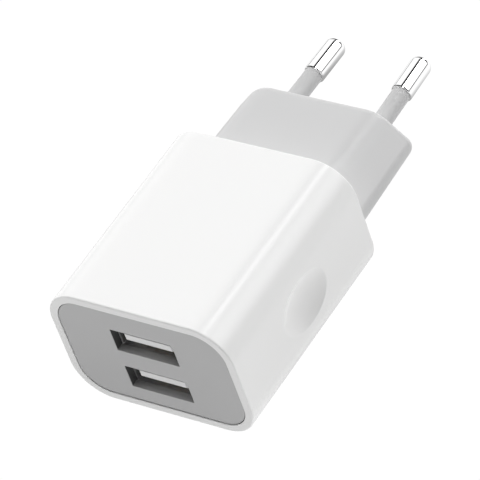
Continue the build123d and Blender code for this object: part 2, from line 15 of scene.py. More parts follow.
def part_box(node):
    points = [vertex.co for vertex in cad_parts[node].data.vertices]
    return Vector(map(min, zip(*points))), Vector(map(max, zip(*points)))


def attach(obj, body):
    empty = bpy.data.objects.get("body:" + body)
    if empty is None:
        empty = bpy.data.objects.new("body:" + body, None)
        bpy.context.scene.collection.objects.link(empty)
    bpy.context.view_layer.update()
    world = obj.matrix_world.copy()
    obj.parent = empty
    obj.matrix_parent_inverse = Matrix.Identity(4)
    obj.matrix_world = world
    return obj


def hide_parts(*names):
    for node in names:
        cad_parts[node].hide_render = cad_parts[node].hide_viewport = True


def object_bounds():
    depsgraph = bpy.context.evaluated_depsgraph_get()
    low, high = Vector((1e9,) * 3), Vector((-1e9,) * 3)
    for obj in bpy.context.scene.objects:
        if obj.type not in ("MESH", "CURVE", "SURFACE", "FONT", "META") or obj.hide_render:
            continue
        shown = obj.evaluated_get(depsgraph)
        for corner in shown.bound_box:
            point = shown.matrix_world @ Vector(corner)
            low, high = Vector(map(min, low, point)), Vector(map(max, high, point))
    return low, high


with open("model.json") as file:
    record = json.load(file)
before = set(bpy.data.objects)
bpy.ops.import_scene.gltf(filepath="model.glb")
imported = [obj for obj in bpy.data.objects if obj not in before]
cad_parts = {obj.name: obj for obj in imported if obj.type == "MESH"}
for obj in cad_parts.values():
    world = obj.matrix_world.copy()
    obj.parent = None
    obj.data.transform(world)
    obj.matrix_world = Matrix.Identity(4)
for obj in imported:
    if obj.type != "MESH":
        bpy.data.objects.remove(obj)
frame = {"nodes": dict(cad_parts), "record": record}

MM = 0.001
LOG = logging.getLogger("charger")
CAD_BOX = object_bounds()
PLATE_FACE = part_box("front_plate")[0].y
Loop = list[bmesh.types.BMVert]

# How deep a full step of grain, drawn line or copper track is.
GRAIN_DEPTH = 0.02 * MM
LINE_DEPTH = 0.01 * MM
TRACK_DEPTH = 0.03 * MM

# Scales of the marks, and the noise levels between which each mask rises.
HANDLING_SCALE = 170.0
HANDLING_TWIST = 1.2
DRAWN_STRETCH = (6000.0, 140.0, 6000.0)
STAIN_SCALE = 420.0
CLOUD_LEVELS = (0.3, 0.7)
HANDLING_LEVELS = (0.45, 0.75)
STREAK_LEVELS = (0.35, 0.65)
STAIN_LEVELS = (0.4, 0.7)

# Painted shade on the walls of the openings: Y where it starts, Y where it is darkest, and the factor there.
PAINTED_OPENING_SHADE = (PLATE_FACE + 0.04 * MM, PLATE_FACE + 0.14 * MM, 0.13)

# Mesh work: how close points are joined, and the angles in degrees of flat faces and of rounded edges.
MERGE = 0.0005 * MM
FLAT_WITHIN = 1.0
ROUNDED_FROM = 35.0
NORMAL_WEIGHT = 60


class Port(Enum):
    """The two stacked sockets, by the name their CAD nodes start with."""

    UPPER = "upper"
    LOWER = "lower"


class Side(Enum):
    """Left and right of the middle plane, with the sign of X there."""

    LEFT = -1
    RIGHT = 1

    @property
    def word(self) -> str:
        """The side's name in lower case, as the CAD nodes spell it."""
        return self.name.lower()


# ------------------------------------------------------------------ shader groups and finishes


def new_group(name: str, inputs: dict[str, float], outputs: Sequence[str]) -> bpy.types.NodeTree:
    """Start a shader node group with float inputs and outputs.

    Args:
        name: the group's name.
        inputs: input names with their default values.
        outputs: output names.

    Returns:
        The new node tree, with its input and output nodes in place.
    """
    tree = bpy.data.node_groups.new(name, "ShaderNodeTree")
    for label, value in inputs.items():
        socket = tree.interface.new_socket(label, in_out="INPUT", socket_type="NodeSocketFloat")
        socket.default_value = value
    for label in outputs:
        tree.interface.new_socket(label, in_out="OUTPUT", socket_type="NodeSocketFloat")
    tree.nodes.new("NodeGroupInput")
    tree.nodes.new("NodeGroupOutput")
    return tree


def group_ends(tree: bpy.types.NodeTree) -> tuple[bpy.types.Node, bpy.types.Node]:
    """Give a group's input node and output node."""
    return tree.nodes["Group Input"], tree.nodes["Group Output"]


def noise_node(tree: bpy.types.NodeTree, vector: bpy.types.NodeSocket, detail: float) -> bpy.types.Node:
    """Add a noise texture fed by a vector socket.

    Args:
        tree: the tree to add it to.
        vector: the socket that gives the coordinates.
        detail: octaves of detail.

    Returns:
        The noise node.
    """
    noise = tree.nodes.new("ShaderNodeTexNoise")
    noise.inputs["Detail"].default_value = detail
    tree.links.new(vector, noise.inputs["Vector"])
    return noise


def range_node(
    tree: bpy.types.NodeTree,
    value: bpy.types.NodeSocket,
    source: tuple[float, float],
    target: tuple[float, float],
) -> bpy.types.NodeSocket:
    """Map a value from one range to another, clamped.

    Args:
        tree: the tree to add the node to.
        value: the socket to map.
        source: lowest and highest value read.
        target: what they become.

    Returns:
        The mapped value's socket.
    """
    node = tree.nodes.new("ShaderNodeMapRange")
    node.inputs["From Min"].default_value, node.inputs["From Max"].default_value = source
    node.inputs["To Min"].default_value, node.inputs["To Max"].default_value = target
    tree.links.new(value, node.inputs["Value"])
    return node.outputs["Result"]


def moulded_surface() -> bpy.types.NodeTree:
    """Build the group for moulded plastic: fine spark texture, flow clouding and handling marks."""
    tree = new_group(
        "moulded_surface", {"Grain Scale": 2500.0, "Cloud Scale": 60.0}, ("Height", "Cloud", "Handling")
    )
    source, sink = group_ends(tree)
    place = tree.nodes.new("ShaderNodeTexCoord")
    grain = noise_node(tree, place.outputs["Object"], 4.0)
    tree.links.new(source.outputs["Grain Scale"], grain.inputs["Scale"])
    cloud = noise_node(tree, place.outputs["Object"], 2.0)
    tree.links.new(source.outputs["Cloud Scale"], cloud.inputs["Scale"])
    marks = noise_node(tree, place.outputs["Object"], 6.0)
    marks.inputs["Scale"].default_value = HANDLING_SCALE
    marks.inputs["Distortion"].default_value = HANDLING_TWIST
    tree.links.new(grain.outputs["Fac"], sink.inputs["Height"])
    tree.links.new(range_node(tree, cloud.outputs["Fac"], CLOUD_LEVELS, (0.0, 1.0)), sink.inputs["Cloud"])
    handling = range_node(tree, marks.outputs["Fac"], HANDLING_LEVELS, (0.0, 1.0))
    tree.links.new(handling, sink.inputs["Handling"])
    return tree


def drawn_surface() -> bpy.types.NodeTree:
    """Build the group for drawn or rolled metal: fine lines along Y and soft stains."""
    tree = new_group("drawn_surface", {"Line Scale": 1.0}, ("Height", "Streak", "Stain"))
    source, sink = group_ends(tree)
    place = tree.nodes.new("ShaderNodeTexCoord")
    stretch = tree.nodes.new("ShaderNodeMapping")
    stretch.inputs["Scale"].default_value = DRAWN_STRETCH
    tree.links.new(place.outputs["Object"], stretch.inputs["Vector"])
    lines = noise_node(tree, stretch.outputs["Vector"], 3.0)
    tree.links.new(source.outputs["Line Scale"], lines.inputs["Scale"])
    stain = noise_node(tree, place.outputs["Object"], 5.0)
    stain.inputs["Scale"].default_value = STAIN_SCALE
    tree.links.new(lines.outputs["Fac"], sink.inputs["Height"])
    tree.links.new(range_node(tree, lines.outputs["Fac"], STREAK_LEVELS, (0.0, 1.0)), sink.inputs["Streak"])
    tree.links.new(range_node(tree, stain.outputs["Fac"], STAIN_LEVELS, (0.0, 1.0)), sink.inputs["Stain"])
    return tree


MOULDED = moulded_surface()
DRAWN = drawn_surface()


@dataclass(frozen=True)
class Finish:
    """A surface finish: what its material is called and the values that every finish has.

    Attributes:
        name: the material's name.
        colour: its base colour.
        roughness, spread: the middle roughness and how far it varies.
        tone: how far the colour varies, as a part of it.
        bump: strength of the bump.
    """

    name: str
    colour: tuple[float, float, float]
    roughness: float = 0.4
    spread: float = 0.05
    tone: float = 0.02
    bump: float = 0.1

    def start(self) -> tuple[bpy.types.Material, bpy.types.NodeTree, bpy.types.Node]:
        """Make an empty node material.

        Returns:
            The material, its tree and its Principled shader.
        """
        material = bpy.data.materials.new(self.name)
        material.use_nodes = True
        tree = material.node_tree
        return material, tree, tree.nodes["Principled BSDF"]

    def shade(self, amount: float) -> tuple[float, float, float, float]:
        """Give the finish's colour made lighter or darker.

        Args:
            amount: the factor on each channel.

        Returns:
            The colour with an alpha of one.
        """
        red, green, blue = (min(1.0, channel * amount) for channel in self.colour)
        return red, green, blue, 1.0

    def vary(self, tree: bpy.types.NodeTree, mask: bpy.types.NodeSocket) -> bpy.types.NodeSocket:
        """Mix the colour's darker and lighter tones by a mask.

        Args:
            tree: the material's tree.
            mask: where the lighter tone shows.

        Returns:
            The mixed colour's socket.
        """
        mix = tree.nodes.new("ShaderNodeMix")
        mix.data_type = "RGBA"
        mix.inputs["A"].default_value = self.shade(1.0 - self.tone)
        mix.inputs["B"].default_value = self.shade(1.0 + self.tone)
        tree.links.new(mask, mix.inputs["Factor"])
        return mix.outputs["Result"]

    def roughen(self, tree: bpy.types.NodeTree, shader: bpy.types.Node, mask: bpy.types.NodeSocket) -> None:
        """Spread the roughness about its middle value.

        Args:
            tree: the material's tree.
            shader: the Principled shader.
            mask: where the surface is rougher.
        """
        low, high = self.roughness - self.spread, self.roughness + self.spread
        tree.links.new(range_node(tree, mask, (0.0, 1.0), (low, high)), shader.inputs["Roughness"])

    def emboss(
        self, tree: bpy.types.NodeTree, shader: bpy.types.Node, height: bpy.types.NodeSocket, depth: float
    ) -> None:
        """Add a bump from a height.

        Args:
            tree: the material's tree.
            shader: the Principled shader.
            height: the height's socket.
            depth: how deep a full step of height is, in metres.
        """
        bump = tree.nodes.new("ShaderNodeBump")
        bump.inputs["Strength"].default_value = self.bump
        bump.inputs["Distance"].default_value = depth
        tree.links.new(height, bump.inputs["Height"])
        tree.links.new(bump.outputs["Normal"], shader.inputs["Normal"])

    def material(self) -> bpy.types.Material:
        """Give the finish's material, made on first use."""
        made = bpy.data.materials.get(self.name)
        return made if made is not None else self.make()

    def make(self) -> bpy.types.Material:
        """Build the material; each kind of finish says how."""
        raise NotImplementedError


@dataclass(frozen=True)
class MouldedPlastic(Finish):
    """Injection-moulded plastic, glossy or satin, with a fine grain.

    Attributes:
        grain: scale of the fine grain.
        coat, coat_roughness: weight and roughness of a clear gloss coat.
        ior: index of refraction under the coat.
        recess: painted shade on walls deeper than a given Y: Y where it starts, Y where it is darkest, and
            the factor there.
            upward, upward_share: how far a face looks up as it leaves the painted shade, and what is left of
                it.
    """

    grain: float = 2500.0
    coat: float = 0.0
    coat_roughness: float = 0.04
    ior: float = 1.5
    recess: tuple[float, float, float] | None = None
    upward: tuple[float, float] = (0.0, 0.8)
    upward_share: float = 0.2

    def make(self) -> bpy.types.Material:
        """Build the plastic's material."""
        material, tree, shader = self.start()
        surface = tree.nodes.new("ShaderNodeGroup")
        surface.node_tree = MOULDED
        surface.inputs["Grain Scale"].default_value = self.grain
        colour = self.vary(tree, surface.outputs["Cloud"])
        # Painted shade on walls that lie deep in the openings.
        if self.recess is not None:
            colour = self.darken(tree, colour)
        tree.links.new(colour, shader.inputs["Base Color"])
        self.roughen(tree, shader, surface.outputs["Handling"])
        self.emboss(tree, shader, surface.outputs["Height"], GRAIN_DEPTH)
        shader.inputs["IOR"].default_value = self.ior
        shader.inputs["Coat Weight"].default_value = self.coat
        shader.inputs["Coat Roughness"].default_value = self.coat_roughness
        return material

    def darken(self, tree: bpy.types.NodeTree, colour: bpy.types.NodeSocket) -> bpy.types.NodeSocket:
        """Paint shade on the walls that lie deeper than a given Y, least where they face up.

        Args:
            tree: the material's tree.
            colour: the colour to paint the shade on.

        Returns:
            The darkened colour's socket.
        """
        start, end, shade = self.recess
        place = tree.nodes.new("ShaderNodeNewGeometry")
        spot = tree.nodes.new("ShaderNodeSeparateXYZ")
        tree.links.new(place.outputs["Position"], spot.inputs["Vector"])
        facing = tree.nodes.new("ShaderNodeSeparateXYZ")
        tree.links.new(place.outputs["Normal"], facing.inputs["Vector"])
        deep = range_node(tree, spot.outputs["Y"], (start, end), (0.0, 1.0))
        flat = range_node(tree, facing.outputs["Z"], self.upward, (1.0, self.upward_share))
        mask = tree.nodes.new("ShaderNodeMath")
        mask.operation = "MULTIPLY"
        tree.links.new(deep, mask.inputs[0])
        tree.links.new(flat, mask.inputs[1])
        mix = tree.nodes.new("ShaderNodeMix")
        mix.data_type = "RGBA"
        tree.links.new(mask.outputs["Value"], mix.inputs["Factor"])
        tree.links.new(colour, mix.inputs["A"])
        mix.inputs["B"].default_value = self.shade(shade)
        return mix.outputs["Result"]


@dataclass(frozen=True)
class DrawnMetal(Finish):
    """Plated, drawn or rolled metal with fine lines along its length.

    Attributes:
        line_scale: scale of the lines.
    """

    line_scale: float = 1.0

    def make(self) -> bpy.types.Material:
        """Build the metal's material."""
        material, tree, shader = self.start()
        surface = tree.nodes.new("ShaderNodeGroup")
        surface.node_tree = DRAWN
        surface.inputs["Line Scale"].default_value = self.line_scale
        tree.links.new(self.vary(tree, surface.outputs["Streak"]), shader.inputs["Base Color"])
        self.roughen(tree, shader, surface.outputs["Stain"])
        self.emboss(tree, shader, surface.outputs["Height"], LINE_DEPTH)
        shader.inputs["Metallic"].default_value = 1.0
        return material


@dataclass(frozen=True)
class Laminate(Finish):
    """Circuit board: green resist over raised copper tracks.

    Attributes:
        track: colour over the copper.
        pitch: scale of the track pattern.
        track_edge: from a line of the pattern, where a track's edge starts and ends.
    """

    track: tuple[float, float, float] = (0.13, 0.42, 0.2)
    pitch: float = 650.0
    track_edge: tuple[float, float] = (0.05, 0.09)

    def make(self) -> bpy.types.Material:
        """Build the board's material."""
        material, tree, shader = self.start()
        place = tree.nodes.new("ShaderNodeTexCoord")
        tracks = tree.nodes.new("ShaderNodeTexVoronoi")
        tracks.feature = "DISTANCE_TO_EDGE"
        tracks.inputs["Scale"].default_value = self.pitch
        tree.links.new(place.outputs["Object"], tracks.inputs["Vector"])
        mask = range_node(tree, tracks.outputs["Distance"], self.track_edge, (1.0, 0.0))
        mix = tree.nodes.new("ShaderNodeMix")
        mix.data_type = "RGBA"
        mix.inputs["A"].default_value = self.shade(1.0)
        mix.inputs["B"].default_value = (*self.track, 1.0)
        tree.links.new(mask, mix.inputs["Factor"])
        tree.links.new(mix.outputs["Result"], shader.inputs["Base Color"])
        self.emboss(tree, shader, mask, TRACK_DEPTH)
        surface = tree.nodes.new("ShaderNodeGroup")
        surface.node_tree = MOULDED
        self.roughen(tree, shader, surface.outputs["Handling"])
        return material


WHITE_SHELL = MouldedPlastic("white_shell", (0.87, 0.87, 0.868), 0.3, 0.03, 0.004, 0.01, coat=1.0, ior=1.2)
PLATE_GREY = MouldedPlastic(
    "plate_grey",
    (0.53, 0.53, 0.532),
    0.45,
    0.04,
    0.01,
    0.08,
    grain=3200.0,
    # painted shade on the walls of the openings
    recess=PAINTED_OPENING_SHADE,
)
PLUG_GREY = MouldedPlastic("plug_grey", (0.62, 0.62, 0.622), 0.35, 0.01, 0.01, 0.03, grain=3200.0)
COLLAR_GREY = MouldedPlastic("collar_grey", (0.56, 0.56, 0.562), 0.45, 0.02, 0.01, 0.03, grain=3600.0)
TONGUE_PALE = MouldedPlastic("tongue_pale", (0.88, 0.88, 0.88), 0.4, 0.04, 0.015, 0.1)
BLACK_MOULD = MouldedPlastic("black_mould", (0.025, 0.025, 0.026), 0.5, 0.06, 0.08, 0.2)
FERRITE = MouldedPlastic("fired_ferrite", (0.055, 0.055, 0.06), 0.62, 0.08, 0.12, 0.5, grain=5200.0)
TAPE_YELLOW = MouldedPlastic("yellow_tape", (0.72, 0.5, 0.04), 0.22, 0.05, 0.05, 0.1)
BLUE_DIP = MouldedPlastic("blue_dip", (0.03, 0.14, 0.48), 0.2, 0.05, 0.05, 0.2, grain=900.0)
RESISTOR_COAT = MouldedPlastic("resistor_coat", (0.11, 0.26, 0.15), 0.5, 0.06, 0.06, 0.4)
CAN_SLEEVE = MouldedPlastic("can_sleeve", (0.02, 0.025, 0.045), 0.25, 0.05, 0.05, 0.1)
WIRE_BROWN = MouldedPlastic("wire_brown", (0.12, 0.045, 0.02), 0.45, 0.05, 0.05, 0.2)
WIRE_BLUE = MouldedPlastic("wire_blue", (0.03, 0.08, 0.3), 0.45, 0.05, 0.05, 0.2)
PIN_PLATING = DrawnMetal("pin_plating", (0.96, 0.96, 0.962), 0.03, 0.01, 0.01, 0.01)
# Steel for the shells and springs. Its base colour is far darker than bare steel: painted shade for the deep
# openings.
STEEL_PAINTED_DARK = DrawnMetal("socket_steel", (0.07, 0.07, 0.072), 0.36, 0.07, 0.06, 0.25, line_scale=0.5)
CONTACT_GOLD = DrawnMetal("contact_gold", (0.86, 0.62, 0.25), 0.2, 0.05, 0.04, 0.2)
TINNED = DrawnMetal("tinned_wire", (0.7, 0.7, 0.71), 0.28, 0.08, 0.05, 0.3)
COPPER = DrawnMetal("enamelled_copper", (0.6, 0.2, 0.08), 0.3, 0.05, 0.06, 0.3)
CAN_ALUMINIUM = DrawnMetal("can_aluminium", (0.75, 0.75, 0.76), 0.25, 0.06, 0.03, 0.2)
BOARD = Laminate("board_laminate", (0.02, 0.16, 0.06), 0.35, 0.05, 0.03, 0.3)


# ------------------------------------------------------------------ mesh work


@dataclass(frozen=True)
class Outline:
    """A convex outline in the X-Z plane with rounded corners, listed anticlockwise seen from the front.

    Attributes:
        corners: the sharp corners, before rounding.
        radii: the rounding of each corner.
        sides: how many segments each straight side has, from its corner to the next.
        arc: how many segments each rounded corner has.
        least_radius: the smallest rounding that a corner keeps when the outline is moved in.
    """

    corners: tuple[tuple[float, float], ...]
    radii: tuple[float, ...]
    sides: tuple[int, ...]
    arc: int = 14
    least_radius: float = 0.01 * MM

    def points(self, outward: float = 0.0) -> list[Vector]:
        """Give the outline's points.

        Args:
            outward: how far the whole outline is moved out, or in where it is less than zero.

        Returns:
            Points (x, z), anticlockwise.
        """
        count = len(self.corners)
        plain = [Vector(corner) for corner in self.corners]
        normals = []
        for index in range(count):
            along = (plain[(index + 1) % count] - plain[index]).normalized()
            normals.append(Vector((along.y, -along.x)))
        arcs = []
        for index in range(count):
            before, after = normals[index - 1], normals[index]
            corner = plain[index] + (before + after) * (outward / (1.0 + before.dot(after)))
            radius = max(self.radii[index] + outward, self.least_radius)
            centre = corner - (before + after) * (radius / (1.0 + before.dot(after)))
            start = math.atan2(before.y, before.x)
            turn = (math.atan2(after.y, after.x) - start) % math.tau
            angles = [start + turn * step / self.arc for step in range(self.arc + 1)]
            arcs.append([centre + radius * Vector((math.cos(angle), math.sin(angle))) for angle in angles])
        found = []
        for index in range(count):
            found += arcs[index]
            begin, end = arcs[index][-1], arcs[(index + 1) % count][0]
            steps = self.sides[index]
            found += [begin.lerp(end, step / steps) for step in range(1, steps)]
        return found

    def side_start(self, side: int) -> int:
        """Give the index of the point where a straight side starts."""
        return sum(self.arc + steps for steps in self.sides[:side]) + self.arc


def rectangle(
    width: float,
    height: float,
    radius: float,
    middle: float,
    sides: tuple[int, int, int, int] = (8, 8, 8, 8),
    arc: int = 14,
) -> Outline:
    """Give a rounded rectangle about x = 0.

    Args:
        width: size along X.
        height: size along Z.
        radius: rounding of its corners.
        middle: height of its middle.
        sides: segments of the right, top, left and bottom sides.
        arc: segments of each corner.

    Returns:
        The outline, starting at the lower right corner.
    """
    x, low, high = width / 2, middle - height / 2, middle + height / 2
    return Outline(((x, low), (x, high), (-x, high), (-x, low)), (radius,) * 4, sides, arc)


def add_loop(mesh: bmesh.types.BMesh, points: Iterable[Vector], y: float) -> Loop:
    """Add a loop of vertices across the body.

    Args:
        mesh: the mesh to add to.
        points: points (x, z).
        y: where along the body the loop lies.

    Returns:
        The new vertices.
    """
    return [mesh.verts.new((point.x, y, point.y)) for point in points]


def nowhere(index: int) -> bool:
    """Tell that no quad is left open."""
    return False


def bridge(
    mesh: bmesh.types.BMesh, first: Loop, second: Loop, skip: Callable[[int], bool] = nowhere
) -> None:
    """Join two loops of equal length with quads.

    Args:
        mesh: the mesh to add to.
        first: one loop.
        second: the other loop.
        skip: tells which quads to leave open, by the index of their first vertex.
    """
    count = len(first)
    for index in range(count):
        if not skip(index):
            after = (index + 1) % count
            mesh.faces.new((first[index], first[after], second[after], second[index]))


def fill(mesh: bmesh.types.BMesh, loops: Sequence[Loop], normal: Vector) -> None:
    """Fill the flat region between an outer loop and the holes in it.

    Args:
        mesh: the mesh to add to.
        loops: the outer loop, then the holes.
        normal: which way the face looks.
    """
    edges = []
    for loop in loops:
        for index, vertex in enumerate(loop):
            after = loop[(index + 1) % len(loop)]
            edges.append(mesh.edges.get((vertex, after)) or mesh.edges.new((vertex, after)))
    bmesh.ops.triangle_fill(mesh, use_beauty=True, use_dissolve=True, edges=edges, normal=normal)


def quarter(steps: int) -> list[tuple[float, float]]:
    """Give (sine, one minus cosine) of evenly spaced angles from 0 to 90 degrees."""
    angles = [math.pi / 2 * step / steps for step in range(steps + 1)]
    return [(math.sin(angle), 1.0 - math.cos(angle)) for angle in angles]


def finish_mesh(mesh: bmesh.types.BMesh, name: str, smooth_below: float = 32.0) -> bpy.types.Object:
    """Turn a bmesh into a smooth-shaded object that keeps its hard edges.

    Args:
        mesh: the mesh, which is freed.
        name: the new object's name.
        smooth_below: edges that turn less than this many degrees are shaded smooth.

    Returns:
        The new object, linked to the scene.
    """
    loose = [vertex for vertex in mesh.verts if not vertex.link_faces]
    bmesh.ops.delete(mesh, geom=loose, context="VERTS")
    bmesh.ops.recalc_face_normals(mesh, faces=mesh.faces)
    limit = math.radians(smooth_below)
    for edge in mesh.edges:
        edge.smooth = edge.calc_face_angle(0.0) < limit
    for face in mesh.faces:
        face.smooth = True
    data = bpy.data.meshes.new(name)
    mesh.to_mesh(data)
    mesh.free()
    piece = bpy.data.objects.new(name, data)
    bpy.context.scene.collection.objects.link(piece)
    weighted = piece.modifiers.new("even_normals", "WEIGHTED_NORMAL")
    weighted.keep_sharp = True
    weighted.weight = NORMAL_WEIGHT
    return piece


def lathe(
    mesh: bmesh.types.BMesh, profile: Sequence[tuple[float, float]], base: Matrix, steps: int = 64
) -> None:
    """Turn a profile about an axis into a closed or open skin.

    Args:
        mesh: the mesh to add to.
        profile: (radius, distance along the axis); a radius of zero makes a pole.
        base: the matrix whose Z axis is the turning axis.
        steps: segments round the axis.
    """
    rings: list[Loop] = []
    for radius, along in profile:
        if radius <= 0.0:
            rings.append([mesh.verts.new(base @ Vector((0.0, 0.0, along)))])
            continue
        angles = [math.tau * step / steps for step in range(steps)]
        round_points = [Vector((radius * math.cos(a), radius * math.sin(a), along)) for a in angles]
        rings.append([mesh.verts.new(base @ point) for point in round_points])
    for first, second in zip(rings, rings[1:]):
        if len(first) == 1:
            for index in range(steps):
                mesh.faces.new((first[0], second[index], second[(index + 1) % steps]))
        elif len(second) == 1:
            for index in range(steps):
                mesh.faces.new((first[index], second[0], first[(index + 1) % steps]))
        else:
            bridge(mesh, first, second)


def clean_copy(node: str) -> bmesh.types.BMesh:
    """Copy a flat-sided CAD node's mesh with each flat face as one face.

    Args:
        node: the CAD node's name.

    Returns:
        The copied mesh.
    """
    mesh = bmesh.new()
    mesh.from_mesh(frame["nodes"][node].data)
    bmesh.ops.remove_doubles(mesh, verts=mesh.verts, dist=MERGE)
    bmesh.ops.dissolve_limit(
        mesh,
        angle_limit=math.radians(FLAT_WITHIN),
        use_dissolve_boundaries=False,
        verts=mesh.verts,
        edges=mesh.edges,
    )
    return mesh


def round_edges(piece: bpy.types.Object, radius: float, segments: int) -> None:
    """Round a piece's edges with a modifier that runs before its normals are weighted.

    Args:
        piece: the piece.
        radius: how far the rounding reaches.
        segments: segments of each rounded edge.
    """
    bevel = piece.modifiers.new("rounded_edges", "BEVEL")
    bevel.width = radius
    bevel.segments = segments
    bevel.limit_method = "ANGLE"
    bevel.angle_limit = math.radians(ROUNDED_FROM)
    bevel.use_clamp_overlap = True
    piece.modifiers.move(1, 0)


def soften(node: str, name: str, radius: float, segments: int = 2) -> bpy.types.Object:
    """Copy a flat-sided CAD node, clean its faces and round its edges.

    Args:
        node: the CAD node's name.
        name: the new piece's name.
        radius: how far the rounding reaches.
        segments: segments of each rounded edge.

    Returns:
        The new piece, which stands for the CAD node.
    """
    piece = finish_mesh(clean_copy(node), name)
    round_edges(piece, radius, segments)
    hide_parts(node)
    return piece


def dress(piece: bpy.types.Object, finish: Finish, body: str = "charger") -> None:
    """Give a new piece its material and the body it rides on.

    Args:
        piece: the piece.
        finish: its finish.
        body: the CAD body.
    """
    piece.data.materials.clear()
    piece.data.materials.append(finish.material())
    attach(piece, body)
    LOG.info("%s on %s", piece.name, body)


def dress_node(node: str, finish: Finish) -> None:
    """Give a CAD node that stays a better material.

    Args:
        node: the CAD node's name.
        finish: its finish.
    """
    held = frame["nodes"][node]
    held.data.materials.clear()
    held.data.materials.append(finish.material())
    LOG.info("%s keeps its CAD shape", node)


# ------------------------------------------------------------------ sub-assemblies


@dataclass
class Sleeve:
    """White outer sleeve: a rounded tube with a thumb dimple in each side wall.

    Attributes:
        corner, rebate_corner, cavity_corner: corner radii outside, at the rebates and inside.
        edge, inner_edge: rounding of the rim's outer and inner edge.
        rim, front_rebate, rear_rebate: the rim's width and the depth of the rebates behind it.
        side_wall, flat_wall: wall thicknesses.
        dimple_from_front, dimple_height: the dimple's middle, from the front edge and from below.
        dimple_half, dimple_depth: its half sizes along and up, and its depth.
        sharp_lip, soft_lip: depth over which its lip is rounded, behind and below, and in front and above.
        patch_half: half the length of the finely divided part of each wall.
        patch_blends: rings between that part's border and the oval.
        oval_reach, oval_start: scales of the oval the blends end on, and of the first ring of the dimple.
        near_rings, near_step, far_rings, far_step: close rings over the lip, then wider ones.
        wall_steps, roof_steps, plain_steps, patch_steps: segments up, across and along the sleeve.
        edge_steps, lip_steps: segments of the rim's rounded edges.
    """

    corner: float = 7.1 * MM
    edge: float = 0.3 * MM
    inner_edge: float = 0.12 * MM
    rim: float = 1.58 * MM
    rebate_corner: float = 5.52 * MM
    front_rebate: float = 1.75 * MM
    rear_rebate: float = 2.0 * MM
    side_wall: float = 2.6 * MM
    flat_wall: float = 2.0 * MM
    cavity_corner: float = 5.0 * MM
    dimple_from_front: float = 20.7 * MM
    dimple_height: float = 12.55 * MM
    dimple_half: tuple[float, float] = (6.6 * MM, 4.9 * MM)
    dimple_depth: float = 1.5 * MM
    sharp_lip: float = 0.07 * MM
    soft_lip: float = 0.3 * MM
    patch_half: float = 8.4 * MM
    patch_blends: tuple[float, ...] = (0.4, 0.75, 1.0)
    oval_reach: float = 1.085
    oval_start: float = 1.07
    near_rings: int = 14
    near_step: float = 0.01
    far_rings: int = 18
    far_step: float = 0.05
    wall_steps: int = 30
    roof_steps: int = 10
    plain_steps: int = 8
    patch_steps: int = 42
    edge_steps: int = 5
    lip_steps: int = 3

    def __post_init__(self) -> None:
        """Take the sleeve's place and size from the frame."""
        self.low, self.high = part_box("outer_sleeve")
        self.width = self.high.x - self.low.x
        self.height = self.high.z - self.low.z
        self.middle = (self.high.z + self.low.z) / 2
        self.sides = (self.wall_steps, self.roof_steps, self.wall_steps, self.roof_steps)

    def outline(self, width: float, height: float, corner: float) -> Outline:
        """Give one of the sleeve's rounded rectangles, all with the same number of points."""
        return rectangle(width, height, corner, self.middle, self.sides)

    def sink(self, along: float, up: float) -> float:
        """Give how deep the dimple is at a point of the wall.

        Args:
            along: distance from the dimple's middle towards the pins.
            up: distance from the dimple's middle upwards.

        Returns:
            The depth, with a lip that is crisp behind and below and softer in front and above.
        """
        half_along, half_up = self.dimple_half
        depth = self.dimple_depth
        across = (half_along**2 + depth**2) / (2 * depth)
        upright = (half_up**2 + depth**2) / (2 * depth)
        barrel = across - upright + math.sqrt(max(upright**2 - up**2, 0.0))
        sunk = depth - across + math.sqrt(max(barrel**2 - along**2, 0.0))
        facing = math.atan2(up / half_up, along / half_along)
        lean = (1.0 - math.cos(facing + math.pi / 4)) / 2
        lip = self.sharp_lip + (self.soft_lip - self.sharp_lip) * lean
        if sunk >= lip:
            return sunk
        return max(sunk + lip, 0.0) ** 2 / (4 * lip)

    def dimple(self, mesh: bmesh.types.BMesh, border: Loop, side: Side) -> None:
        """Fill the gap left in a side wall with rings that follow the oval dimple.

        Args:
            mesh: the sleeve's mesh.
            border: vertices round the gap, in order.
            side: which wall it is.
        """
        wall = side.value * self.width / 2
        centre_y = self.low.y + self.dimple_from_front
        centre_z = self.low.z + self.dimple_height
        half_along, half_up = self.dimple_half
        angles = [math.atan2((v.co.z - centre_z) / half_up, (v.co.y - centre_y) / half_along) for v in border]
        previous = border
        for blend in self.patch_blends:
            ring = []
            for vertex, angle in zip(border, angles):
                along = self.oval_reach * half_along * math.cos(angle)
                up = self.oval_reach * half_up * math.sin(angle)
                oval = Vector((wall, centre_y + along, centre_z + up))
                ring.append(mesh.verts.new(vertex.co.lerp(oval, blend)))
            bridge(mesh, previous, ring)
            previous = ring
        near = [self.oval_start - self.near_step * step for step in range(self.near_rings)]
        inner = self.oval_start - self.near_step * self.near_rings
        far = [inner - self.far_step * step for step in range(self.far_rings)]
        for scale in near + far:
            ring = []
            for angle in angles:
                along, up = scale * half_along * math.cos(angle), scale * half_up * math.sin(angle)
                depth = self.sink(along, up)
                ring.append(mesh.verts.new((wall - side.value * depth, centre_y + along, centre_z + up)))
            bridge(mesh, previous, ring)
            previous = ring
        pole = mesh.verts.new((wall - side.value * self.dimple_depth, centre_y, centre_z))
        for index, vertex in enumerate(previous):
            mesh.faces.new((vertex, previous[(index + 1) % len(previous)], pole))

